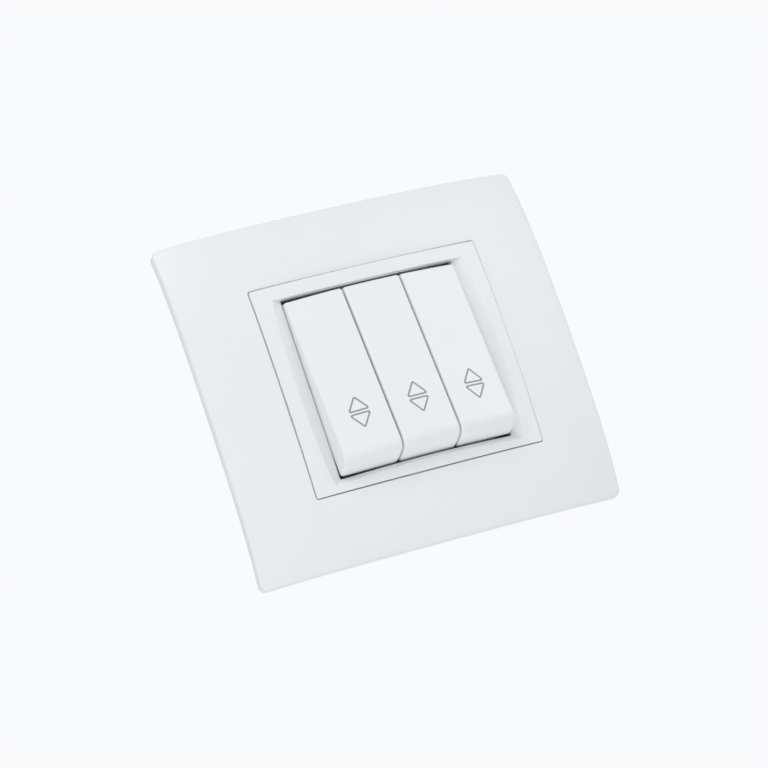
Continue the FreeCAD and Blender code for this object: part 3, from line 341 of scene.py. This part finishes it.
def lathe(tree, radii, heights):
    """A shape turned about Z through a list of radii and heights, closed at both ends."""
    rows = len(radii)
    grid = tree.add("GeometryNodeMeshGrid", inputs={
        "Size X": 1.0, "Size Y": 1.0, "Vertices X": LATHE_SEGMENTS + 1, "Vertices Y": rows})
    across, along, _ = tree.parts_of(tree.add("GeometryNodeInputPosition"))
    angle = tree.scaled(across, 0.0, 2 * math.pi, -0.5, 0.5)
    row = tree.math("ROUND", tree.scaled(along, 0.0, rows - 1.0, -0.5, 0.5))
    radius, height = tree.choose(row, radii), tree.choose(row, heights)
    place = tree.vector(tree.product(radius, tree.math("COSINE", angle)),
                        tree.product(radius, tree.math("SINE", angle)), height)
    turned = tree.add("GeometryNodeSetPosition", inputs={"Geometry": grid, "Position": place})
    return tree.add("GeometryNodeMergeByDistance", inputs={
        "Geometry": turned, "Distance": MERGE_DISTANCE})


def slotted_body(tree, given, core, tip):
    """The turned head and shank of a screw, with the slot cut across the head."""
    head, top, rounding = given["Head Radius"], given["Head Height"], given["Head Round"]
    shoulder = tree.product(rounding, SHOULDER)
    radii = [0.0, tree.less(head, rounding), tree.less(head, shoulder), head, head,
             core, core, tree.product(core, TIP_RADIUS), 0.0]
    heights = [top, top, tree.less(top, shoulder), tree.less(top, rounding), 0.0,
               0.0, tree.total(tip, tree.product(core, TIP_LENGTH)), tip, tip]
    slot = tree.vector(tree.product(head, SLOT_REACH), given["Slot Width"],
                       tree.product(given["Slot Depth"], 2.0))
    cutter = tree.add("GeometryNodeMeshCube", inputs={"Size": slot})
    cutter = tree.add("GeometryNodeTransform", inputs={
        "Geometry": cutter, "Translation": tree.vector(0, 0, top)})
    return tree.add("GeometryNodeMeshBoolean", operation="DIFFERENCE", inputs={
        "Mesh 1": lathe(tree, radii, heights), "Mesh 2": cutter})


def rolled_thread(tree, given, core, tip):
    """A three-sided ridge wound round the shank."""
    pitch = given["Thread Pitch"]
    threaded = tree.less(given["Shank Length"], tree.product(pitch, THREAD_RUNOUT))
    helix = tree.add("GeometryNodeCurveSpiral", inputs={
        "Resolution": THREAD_STEPS, "Rotations": tree.math("DIVIDE", threaded, pitch),
        "Start Radius": core, "End Radius": core, "Height": threaded})
    ridge = tree.add("GeometryNodeCurvePrimitiveCircle", inputs={
        "Resolution": RIDGE_SIDES, "Radius": tree.product(pitch, RIDGE_RADIUS)})
    thread = tree.add("GeometryNodeCurveToMesh", inputs={
        "Curve": helix, "Profile Curve": ridge, "Fill Caps": True})
    start = tree.total(tip, tree.product(pitch, THREAD_START))
    return tree.add("GeometryNodeTransform", inputs={
        "Geometry": thread, "Translation": tree.vector(0, 0, start)})


def make_slotted_screw_tree():
    """Slotted cheese-head screws with a rolled thread, one at each seed point."""
    group, tree, given, result = new_shape_tree("slotted screws", {
        "Head Radius": 2.0 * MM, "Head Height": 1.5 * MM, "Head Round": 0.2 * MM,
        "Shank Radius": 1.0 * MM, "Shank Length": 8.0 * MM, "Thread Pitch": 0.5 * MM,
        "Slot Width": 0.7 * MM, "Slot Depth": 0.7 * MM, "Turn Seed": 7,
    })
    core = tree.less(given["Shank Radius"], tree.product(given["Thread Pitch"], RIDGE_RADIUS))
    tip = tree.product(given["Shank Length"], -1.0)
    screw = tree.with_sharp_edges(tree.join(
        slotted_body(tree, given, core, tip), rolled_thread(tree, given, core, tip)))
    turn = tree.add("FunctionNodeRandomValue", output=1, data_type="FLOAT", inputs={
        2: 0.0, 3: math.pi, "Seed": given["Turn Seed"]})
    finish_tree(tree, given, result, instances_on_seed(tree, given, screw, turn))
    return group


def make_coil_spring_tree():
    """Compression springs whose end turns lie close, one at each seed point."""
    group, tree, given, result = new_shape_tree("coil springs", {
        "Coil Radius": SPRING_RADIUS * MM, "Wire Radius": SPRING_WIRE_RADIUS * MM,
        "Free Length": 10.0 * MM, "Turns": SPRING_TURNS,
    })
    wire = given["Wire Radius"]
    length = tree.less(given["Free Length"], tree.product(wire, 2.0))
    helix = tree.add("GeometryNodeCurveSpiral", inputs={
        "Resolution": SPRING_STEPS, "Rotations": given["Turns"],
        "Start Radius": given["Coil Radius"], "End Radius": given["Coil Radius"],
        "Height": length})
    x, y, z = tree.parts_of(tree.add("GeometryNodeInputPosition"))
    share = tree.math("DIVIDE", z, length)
    wave = tree.math("SINE", tree.product(share, 2 * math.pi))
    eased = tree.less(share, tree.product(wave, END_TURN_SQUEEZE))
    height = tree.total(tree.product(eased, length), wire)
    helix = tree.add("GeometryNodeSetPosition", inputs={
        "Geometry": helix, "Position": tree.vector(x, y, height)})
    round_wire = tree.add("GeometryNodeCurvePrimitiveCircle", inputs={
        "Resolution": WIRE_SIDES, "Radius": wire})
    coil = tree.add("GeometryNodeCurveToMesh", inputs={
        "Curve": helix, "Profile Curve": round_wire, "Fill Caps": True})
    coil = tree.with_sharp_edges(coil, SPRING_SHARP_ANGLE)
    finish_tree(tree, given, result, instances_on_seed(tree, given, coil))
    return group


def square_place(tree, across):
    """A place on the edge of a square from -1 to 1, by how far round the grid's row it is. The
    places lie closer near the corners."""
    lap = tree.total(tree.scaled(across, 0.0, SIDES, -0.5, 0.5), CORNER_NUDGE)
    side = tree.math("MODULO", tree.math("FLOOR", lap), SIDES)
    along_side = tree.less(tree.math("MODULO", lap, 1.0), CORNER_NUDGE)
    eased = tree.math("SINE", tree.product(tree.scaled(along_side, -1.0, 1.0), math.pi / 2))
    back = tree.product(eased, -1.0)
    return tree.choose(side, [eased, 1.0, back, -1.0]), tree.choose(side, [-1.0, eased, 1.0, back])


def rounded_outline(tree, across, halves, radius, bow):
    """A rectangle with half sizes, bowed sides and rounded corners, by the place round it."""
    square = square_place(tree, across)
    cores, reaches = [], []
    for place, other, half in zip(square, reversed(square), halves):
        bulged = tree.total(half, tree.product(bow, tree.less(1.0, tree.product(other, other))))
        flat = tree.product(place, bulged)
        room = tree.less(bulged, radius)
        core = tree.math("MAXIMUM", tree.math("MINIMUM", flat, room), tree.product(room, -1.0))
        cores.append(core)
        reaches.append(tree.less(flat, core))
    reach = tree.math("SQRT", tree.total(*(tree.product(each, each) for each in reaches)))
    grow = tree.math("DIVIDE", radius, tree.math("MAXIMUM", reach, SMALLEST_REACH))
    return [tree.total(core, tree.product(each, grow)) for core, each in zip(cores, reaches)]


def dome_fall(tree, given, place, size):
    """How far the dome falls towards an edge, as a share of its rise."""
    share_out = tree.math("DIVIDE", tree.product(place, 2.0), size)
    second = tree.product(share_out, share_out)
    fourth = tree.product(second, second)
    rounding = tree.product(second, tree.less(1.0, given["Dome Flatness"]))
    return tree.total(rounding, tree.product(fourth, given["Dome Flatness"]))


def make_domed_frame_tree(sizes):
    """A section swept round the cover frame. Each seed point is one line round the frame: share
    leads from the window's outline (0) to the outer one (1), inset moves it inwards, and level is
    a distance in front of the dome or, where on_dome is 0, of the wall."""
    group, tree, given, result = new_shape_tree("domed frame", sizes)
    columns = tree.total(tree.product(given["Side Samples"], SIDES), 1.0)
    grid = tree.add("GeometryNodeMeshGrid", inputs={
        "Size X": 1.0, "Size Y": 1.0, "Vertices X": columns,
        "Vertices Y": tree.total(given["Lines"], 1.0)})
    across, along, _ = tree.parts_of(tree.add("GeometryNodeInputPosition"))
    line = tree.math("ROUND", tree.scaled(along, 0.0, given["Lines"], -0.5, 0.5))
    line = tree.math("MODULO", line, given["Lines"])

    def of_line(name):
        return tree.add("GeometryNodeSampleIndex", data_type="FLOAT", domain="POINT", inputs={
            "Geometry": given["Seed"], "Value": tree.named(name), "Index": line})

    share, inset = of_line("share"), of_line("inset")
    on_dome, level = of_line("on_dome"), of_line("level")

    def between(window, outer):
        low = tree.product(window, tree.less(1.0, share))
        return tree.total(low, tree.product(outer, share))

    widths = between(given["Window Width"], given["Width"])
    heights = between(given["Window Height"], given["Height"])
    halves = [tree.less(tree.product(size, 0.5), inset) for size in (widths, heights)]
    radius = tree.less(between(given["Window Radius"], given["Corner Radius"]), inset)
    radius = tree.math("MAXIMUM", radius, SMALLEST_CORNER_RADIUS * MM)
    bow = tree.product(given["Side Bow"], share)
    x, z = rounded_outline(tree, across, halves, radius, bow)

    fall = tree.total(dome_fall(tree, given, x, given["Width"]),
                      dome_fall(tree, given, z, given["Height"]))
    front = tree.less(given["Dome Top"], tree.product(fall, given["Dome Rise"]))
    out = tree.total(tree.product(front, on_dome), level)
    swept = tree.add("GeometryNodeSetPosition", inputs={
        "Geometry": grid, "Position": tree.vector(x, tree.product(out, -1.0), z)})
    closed = tree.add("GeometryNodeMergeByDistance", inputs={
        "Geometry": swept, "Distance": FRAME_MERGE_DISTANCE})
    finish_tree(tree, given, result, tree.with_sharp_edges(closed, FRAME_SHARP_ANGLE))
    return group


def seed_mesh(name, places, **attributes):
    """Loose points that carry named numbers or vectors."""
    mesh = bpy.data.meshes.new(name)
    mesh.from_pydata([tuple(place) for place in places], [], [])
    for attribute, values in attributes.items():
        if isinstance(values[0], (int, float)):
            layer = mesh.attributes.new(attribute, "FLOAT", "POINT")
            layer.data.foreach_set("value", values)
        else:
            layer = mesh.attributes.new(attribute, "FLOAT_VECTOR", "POINT")
            numbers = [number for vector in values for number in vector]
            layer.data.foreach_set("vector", numbers)
    return mesh


def grow_piece(name, seed, group, sizes, finish, body, *nodes):
    """Runs a shape tree on a seed and keeps the result as a plain mesh in place of CAD nodes."""
    piece = bpy.data.objects.new(name, seed)
    bpy.context.scene.collection.objects.link(piece)
    modifier = piece.modifiers.new("shape", "NODES")
    modifier.node_group = group
    identifiers = {item.name: item.identifier for item in group.interface.items_tree
                   if item.item_type == "SOCKET" and item.in_out == "INPUT"}
    for socket, value in {**sizes, "Finish": FINISHES[finish]}.items():
        modifier[identifiers[socket]] = value
    graph = bpy.context.evaluated_depsgraph_get()
    mesh = bpy.data.meshes.new_from_object(piece.evaluated_get(graph), depsgraph=graph)
    piece.modifiers.clear()
    piece.data = mesh
    mesh.name = name
    work = bmesh.new()
    work.from_mesh(mesh)
    bmesh.ops.recalc_face_normals(work, faces=work.faces)
    work.to_mesh(mesh)
    work.free()
    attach(piece, body)
    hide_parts(*nodes)


def solids_of(node):
    """The lowest and highest corner of each separate solid in a carried-over node."""
    work = bmesh.new()
    work.from_mesh(frame["nodes"][node].data)
    bmesh.ops.remove_doubles(work, verts=work.verts, dist=MERGE_DISTANCE)
    seen, boxes = set(), []
    for start in work.verts:
        if start in seen:
            continue
        seen.add(start)
        waiting, places = [start], []
        while waiting:
            vert = waiting.pop()
            places.append(vert.co.copy())
            for edge in vert.link_edges:
                other = edge.other_vert(vert)
                if other not in seen:
                    seen.add(other)
                    waiting.append(other)
        low = Vector([min(place[axis] for place in places) for axis in range(3)])
        high = Vector([max(place[axis] for place in places) for axis in range(3)])
        boxes.append((low, high))
    work.free()
    return sorted(boxes, key=lambda box: tuple(box[0]))


# Finishes

def new_group(name, inputs, outputs):
    """An empty shader group with named sockets: inputs give (kind, default), outputs a kind."""
    kinds = {"colour": "NodeSocketColor", "value": "NodeSocketFloat",
             "vector": "NodeSocketVector"}
    group = bpy.data.node_groups.new(name, "ShaderNodeTree")
    for socket, (kind, default) in inputs.items():
        item = group.interface.new_socket(socket, in_out="INPUT", socket_type=kinds[kind])
        item.default_value = default
    for socket, kind in outputs.items():
        group.interface.new_socket(socket, in_out="OUTPUT", socket_type=kinds[kind])
    tree = Tree(group)
    source = group.nodes.new("NodeGroupInput")
    result = group.nodes.new("NodeGroupOutput")
    return group, tree, source.outputs, result.inputs


def make_moulded_skin():
    """Injection moulded plastic: a very fine even grain, slow shifts of shade where the melt
    flowed, and a thin film of dust with a few specks."""
    group, tree, given, result = new_group("moulded skin", {
        "Colour": ("colour", (0.8, 0.8, 0.8, 1.0)),
        "Shade Shift": ("value", 0.02),
        "Grain Size": ("value", 0.0004),
        "Grain Height": ("value", 0.3),
        "Roughness": ("value", 0.35),
        "Dust": ("value", 0.05),
    }, {"Colour": "colour", "Roughness": "value", "Height": "value"})
    place = tree.add("ShaderNodeTexCoord", output="Object")
    grain_scale = tree.math("DIVIDE", 1.0, given["Grain Size"])
    grain = tree.add("ShaderNodeTexNoise", inputs={
        "Vector": place, "Scale": grain_scale, "Detail": 3.0, "Roughness": 0.6})
    flow = tree.add("ShaderNodeTexNoise", inputs={
        "Vector": place, "Scale": FLOW_SCALE, "Detail": 2.0, "Distortion": FLOW_DISTORTION})
    film = tree.add("ShaderNodeTexNoise", inputs={
        "Vector": place, "Scale": DUST_FILM_SCALE, "Detail": 5.0})
    specks = tree.add("ShaderNodeTexVoronoi", inputs={
        "Vector": place, "Scale": DUST_SPECK_SCALE})
    speck_mask = tree.scaled(specks, 1.0, 0.0, *DUST_SPECK_SPAN)
    patches = tree.scaled(film, 0.0, 1.0, *DUST_PATCH_SPAN)
    speck_mask = tree.math("MULTIPLY", speck_mask, patches, clamp=True)
    shade = tree.product(tree.scaled(flow, -1.0, 1.0, *FLOW_SPAN), given["Shade Shift"])
    colour = tree.add("ShaderNodeVectorMath", operation="SCALE", inputs={
        0: given["Colour"], "Scale": tree.total(1.0, shade)})
    dust = tree.scaled(film, 0.0, 1.0, *DUST_FILM_SPAN)
    dust = tree.math("MULTIPLY", dust, given["Dust"], clamp=True)
    dust = tree.math("MAXIMUM", dust, tree.product(speck_mask, given["Dust"]))
    tree.plug(result["Colour"], tree.mix_colour(dust, colour, opaque(DUST)))
    rough = tree.total(given["Roughness"], tree.scaled(grain, -GRAIN_ROUGHNESS, GRAIN_ROUGHNESS))
    rough = tree.math("ADD", rough, tree.product(dust, DUST_ROUGHNESS), clamp=True)
    tree.plug(result["Roughness"], rough)
    tree.plug(result["Height"], tree.product(grain, given["Grain Height"]))
    return group


def make_drawn_metal():
    """Rolled, drawn or plated metal: streaks along one direction, clouds of tarnish, small pits."""
    group, tree, given, result = new_group("drawn metal", {
        "Colour": ("colour", (0.6, 0.6, 0.6, 1.0)),
        "Tarnish": ("colour", (0.3, 0.3, 0.3, 1.0)),
        "Tarnish Amount": ("value", 0.2),
        "Streak Stretch": ("vector", (1.0, 1.0, 0.05)),
        "Roughness": ("value", 0.3),
    }, {"Colour": "colour", "Roughness": "value", "Height": "value"})
    place = tree.add("ShaderNodeTexCoord", output="Object")
    stretched = tree.add("ShaderNodeVectorMath", operation="MULTIPLY", inputs={
        0: place, 1: given["Streak Stretch"]})
    streaks = tree.add("ShaderNodeTexNoise", inputs={
        "Vector": stretched, "Scale": STREAK_SCALE, "Detail": 3.0})
    clouds = tree.add("ShaderNodeTexNoise", inputs={
        "Vector": place, "Scale": TARNISH_SCALE, "Detail": 4.0,
        "Distortion": TARNISH_DISTORTION})
    pits = tree.add("ShaderNodeTexVoronoi", inputs={"Vector": place, "Scale": PIT_SCALE})
    pit_mask = tree.scaled(pits, PIT_TARNISH, 0.0, *PIT_SPAN)
    amount = tree.product(tree.scaled(clouds, 0.0, 1.0, *TARNISH_SPAN), given["Tarnish Amount"])
    amount = tree.math("ADD", amount, tree.product(pit_mask, given["Tarnish Amount"]), clamp=True)
    shaded = tree.add("ShaderNodeVectorMath", operation="SCALE", inputs={
        0: given["Colour"], "Scale": tree.scaled(streaks, *STREAK_SHADES, *STREAK_SPAN)})
    tree.plug(result["Colour"], tree.mix_colour(amount, shaded, given["Tarnish"]))
    streak_shift = tree.scaled(streaks, -STREAK_ROUGHNESS, STREAK_ROUGHNESS, *STREAK_SPAN)
    rough = tree.total(given["Roughness"], streak_shift)
    rough = tree.math("ADD", rough, tree.product(amount, TARNISH_ROUGHNESS), clamp=True)
    tree.plug(result["Roughness"], rough)
    tree.plug(result["Height"], tree.less(streaks, tree.product(pit_mask, PIT_DEPTH)))
    return group


MOULDED_SKIN = make_moulded_skin()
DRAWN_METAL = make_drawn_metal()


def surface(name, group, group_inputs, bump, shader_inputs):
    """A material whose colour, roughness and fine relief come from a shared group."""
    material = bpy.data.materials.new(name)
    material.use_nodes = True
    material.node_tree.nodes.clear()
    tree = Tree(material.node_tree)
    skin = tree.new_node("ShaderNodeGroup", node_tree=group)
    for socket, value in group_inputs.items():
        skin.inputs[socket].default_value = value
    relief = tree.add("ShaderNodeBump", inputs={
        "Height": skin.outputs["Height"], "Strength": bump, "Distance": RELIEF_DEPTH})
    shader = tree.add("ShaderNodeBsdfPrincipled", inputs={
        "Base Color": skin.outputs["Colour"], "Roughness": skin.outputs["Roughness"],
        "Normal": relief, **shader_inputs})
    output = tree.new_node("ShaderNodeOutputMaterial")
    tree.plug(output.inputs["Surface"], shader)
    return material


def moulded(name, colour, roughness, grain_size, grain_height, bump, shift=0.015, dust=0.04):
    """A moulded plastic; grain_size is in metres."""
    return surface(name, MOULDED_SKIN, {
        "Colour": opaque(colour), "Roughness": roughness, "Grain Size": grain_size,
        "Grain Height": grain_height, "Shade Shift": shift, "Dust": dust,
    }, bump, {"IOR": PLASTIC_IOR})


def metal(name, colour, tarnish, amount, stretch, roughness):
    """A metal with a share of tarnish and streaks along one direction."""
    return surface(name, DRAWN_METAL, {
        "Colour": opaque(colour), "Tarnish": opaque(tarnish), "Tarnish Amount": amount,
        "Streak Stretch": stretch, "Roughness": roughness,
    }, METAL_BUMP, {"Metallic": 1.0})


FINISHES = {
    "white_cover": moulded("white cover", COVER_WHITE, roughness=0.36, grain_size=0.0005,
                           grain_height=0.3, bump=0.06, shift=0.006, dust=0.015),
    "white_key": moulded("white key", KEY_WHITE, roughness=0.3, grain_size=0.0006,
                         grain_height=0.2, bump=0.03, shift=0.005, dust=0.01),
    "grey_mark": moulded("printed mark", MARK_GREY, roughness=0.55, grain_size=0.0002,
                         grain_height=0.6, bump=0.2, shift=0.05, dust=0.02),
    "pale_housing": moulded("housing", HOUSING_GREY, roughness=0.55, grain_size=0.00035,
                            grain_height=0.8, bump=0.5, shift=0.04, dust=0.10),
    "grey_housing": moulded("housing cover", CAP_GREY, roughness=0.5, grain_size=0.00035,
                            grain_height=0.8, bump=0.5, shift=0.08, dust=0.12),
    "pale_actuator": moulded("actuator", ACTUATOR_IVORY, roughness=0.4, grain_size=0.0005,
                             grain_height=0.4, bump=0.2, dust=0.02),
    "zinc_steel": metal("zinc plate", ZINC, DULL_ZINC, 0.5, ALONG_Z, roughness=0.36),
    "spring_steel": metal("spring wire", SPRING_STEEL, DULL_STEEL, 0.2, EVEN, roughness=0.25),
    "brass_strip": metal("brass strip", BRASS, DULL_BRASS, 0.45, ALONG_X, roughness=0.27),
    "silver_contact": metal("silver contact", CONTACT_SILVER, DULL_SILVER, 0.3, EVEN,
                            roughness=0.3),
}


# Pieces

def facts_of(node):
    """What the record says of a carried-over solid."""
    return next(part for part in frame["record"]["subparts"] if part["node"] == node)


def body_of(node):
    """The body that a carried-over solid moves with."""
    bodies = frame["record"]["behaviour"]["bodies"]
    return next(body for body, nodes in bodies.items() if node in nodes)


def finish_cad_nodes():
    """Gives every carried-over solid the finish that the record names for it."""
    for node, piece in frame["nodes"].items():
        piece.data.materials.clear()
        piece.data.materials.append(FINISHES[facts_of(node)["material_slot"]])


def frame_section():
    """The lines round the cover frame, each as share, inset, on_dome and level: collar, ledge,
    window edge, front, thin outer edge, rear, skirt, rear again and collar."""
    rear = -FRAME_SHELL
    skirt_inner = FRAME_SKIRT_INSET + FRAME_SKIRT_WALL
    collar_outer = LEDGE_WIDTH - COLLAR_WALL
    return [
        (0, LEDGE_WIDTH, 0, COLLAR_OUT), (0, LEDGE_WIDTH, 1, -LEDGE_DEPTH), (0, 0, 1, -LEDGE_DEPTH),
        *((0, inset, 1, level) for inset, level in WINDOW_EDGE),
        *((step / FRONT_STEPS, 0, 1, 0) for step in range(1, FRONT_STEPS)),
        *((1, inset, 1, level) for inset, level in FRONT_EDGE),
        *((1, inset, 1, rear + level) for inset, level in REAR_EDGE),
        (1, FRAME_SKIRT_INSET, 1, rear), (1, FRAME_SKIRT_INSET, 0, 0),
        (1, skirt_inner, 0, 0), (1, skirt_inner, 1, rear),
        *((step / REAR_STEPS, 0, 1, rear) for step in range(REAR_STEPS - 2, 0, -1)),
        (0, collar_outer, 1, rear), (0, collar_outer, 0, COLLAR_OUT),
    ]


def make_cover_frame():
    """The cover frame, laid on its dome line by line."""
    lines = frame_section()
    shares, insets, on_dome, levels = zip(*lines)
    seed = seed_mesh(
        "frame section", [(0, 0, 0)] * len(lines),
        share=[float(share) for share in shares], inset=[inset * MM for inset in insets],
        on_dome=[float(choice) for choice in on_dome], level=[level * MM for level in levels])
    sizes = {
        "Width": FRAME_WIDTH * MM, "Height": FRAME_HEIGHT * MM,
        "Corner Radius": FRAME_CORNER_RADIUS * MM, "Side Bow": FRAME_SIDE_BOW * MM,
        "Window Width": WINDOW_WIDTH * MM, "Window Height": WINDOW_HEIGHT * MM,
        "Window Radius": WINDOW_CORNER_RADIUS * MM,
        "Dome Top": (FRAME_CORNER_STANDOFF + FRAME_SHELL + 2 * DOME_RISE) * MM,
        "Dome Rise": DOME_RISE * MM, "Dome Flatness": DOME_FLATNESS,
        "Side Samples": SIDE_SAMPLES, "Lines": len(lines),
    }
    tree = make_domed_frame_tree(sizes)
    grow_piece("cover_frame", seed, tree, sizes, "white_cover", body_of("frame"), "frame")


def make_screws():
    """The clamp screws, the housing's screws and the two claw screws, all from one tree."""
    tree = make_slotted_screw_tree()

    def screws(name, node, axis_of):
        shank_radius, head_height, pitch, slot_depth = SCREW_SIZES[node]
        places, axes = [], []
        for low, high in solids_of(node):
            axis = axis_of(low, high)
            middle, half = (low + high) / 2, (high - low) / 2
            reach = abs(half.dot(axis))
            places.append(middle + axis * (reach - head_height * MM))
            axes.append(tuple(axis))
        grow_piece(name, seed_mesh(name + " seed", places, axis=axes), tree, {
            "Head Radius": half.x, "Head Height": head_height * MM,
            "Head Round": SCREW_HEAD_ROUND * MM, "Shank Radius": shank_radius * MM,
            "Shank Length": 2 * reach - head_height * MM, "Thread Pitch": pitch * MM,
            "Slot Width": SCREW_SLOT_WIDTH * MM, "Slot Depth": slot_depth * MM,
        }, facts_of(node)["material_slot"], body_of(node), node)

    def up_or_down(low, high):
        return Vector((0, 0, math.copysign(1.0, low.z + high.z)))

    def to_room(low, high):
        return TO_ROOM

    screws("clamp_screws", "terminal_screws", up_or_down)
    screws("assembly_screws", "housing_screws", to_room)
    for side in ("left", "right"):
        screws("claw_bolt_" + side, "claw_screw_" + side, to_room)


def make_springs():
    """A spring in each actuator's tube, along the tilted tube."""
    tree = make_coil_spring_tree()
    axis = Vector((0, math.cos(KEY_TILT), -math.sin(KEY_TILT)))
    across = (SPRING_RADIUS + SPRING_WIRE_RADIUS) * MM
    for gang in GANGS:
        node = "spring_" + gang
        low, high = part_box(node)
        middle, half = (low + high) / 2, (high - low) / 2
        length = 2 * (half.y - across * abs(axis.z)) / axis.y
        start = middle - axis * (length / 2)
        seed = seed_mesh(node + " seed", [start], axis=[tuple(axis)])
        grow_piece("coil_" + gang, seed, tree, {
            "Coil Radius": SPRING_RADIUS * MM, "Wire Radius": SPRING_WIRE_RADIUS * MM,
            "Free Length": length, "Turns": SPRING_TURNS,
        }, facts_of(node)["material_slot"], body_of(node), node)


# Studio

def make_camera():
    """The camera that took the photograph, as fitted to it."""
    right, up = Vector(CAMERA_RIGHT).normalized(), Vector(CAMERA_UP)
    back = right.cross(up).normalized()
    up = back.cross(right)
    camera_data = bpy.data.cameras.new("camera")
    camera_data.lens, camera_data.sensor_width = CAMERA_LENS, SENSOR_WIDTH
    camera_data.clip_start, camera_data.clip_end = CAMERA_NEAR, CAMERA_FAR
    camera = bpy.data.objects.new("camera", camera_data)
    turn = Matrix((right, up, back)).transposed().to_4x4()
    camera.matrix_world = Matrix.Translation(CAMERA_PLACE) @ turn
    bpy.context.scene.collection.objects.link(camera)
    bpy.context.scene.camera = camera


def make_floor():
    """A pale floor well below the switch."""
    mesh = bpy.data.meshes.new("floor")
    corners = [(x * FLOOR_HALF, y * FLOOR_HALF, FLOOR_LEVEL)
               for x, y in ((-1, -1), (1, -1), (1, 1), (-1, 1))]
    mesh.from_pydata(corners, [], [(0, 1, 2, 3)])
    floor = bpy.data.objects.new("floor", mesh)
    bpy.context.scene.collection.objects.link(floor)
    floor.data.materials.append(moulded("floor", FLOOR_GREY, roughness=0.8, grain_size=0.003,
                                        grain_height=0.3, bump=0.05, shift=0.01, dust=0.0))


def make_world():
    """A soft light from all sides, and a plain pale background for the camera and reflections."""
    world = bpy.data.worlds.new("studio")
    world.use_nodes = True
    world.node_tree.nodes.clear()
    tree = Tree(world.node_tree)
    rays = tree.new_node("ShaderNodeLightPath").outputs
    seen = tree.math("MAXIMUM", rays["Is Camera Ray"], rays["Is Transmission Ray"])
    seen = tree.math("MAXIMUM", seen, rays["Is Glossy Ray"])
    light = tree.add("ShaderNodeBackground", inputs={
        "Color": opaque(WORLD_LIGHT), "Strength": WORLD_STRENGTH})
    shown = tree.add("ShaderNodeBackground", inputs={
        "Color": opaque(BACKGROUND), "Strength": 1.0})
    both = tree.add("ShaderNodeMixShader", inputs={0: seen, 1: light, 2: shown})
    output = tree.new_node("ShaderNodeOutputWorld")
    tree.plug(output.inputs["Surface"], both)
    bpy.context.scene.world = world


def make_lamps():
    """Square lamps all round, turned to the switch. The brightest stands above, on the left."""
    for name, (place, width, power, colour) in LAMPS.items():
        lamp_data = bpy.data.lights.new(name, "AREA")
        lamp_data.size, lamp_data.energy, lamp_data.color = width, power, colour
        lamp = bpy.data.objects.new(name, lamp_data)
        turn = (-Vector(place)).to_track_quat("-Z", "Y").to_matrix().to_4x4()
        lamp.matrix_world = Matrix.Translation(place) @ turn
        bpy.context.scene.collection.objects.link(lamp)


make_camera()
make_floor()
make_world()
make_lamps()
finish_cad_nodes()
make_cover_frame()
make_screws()
make_springs()

bpy.context.scene.view_settings.view_transform = "Standard"
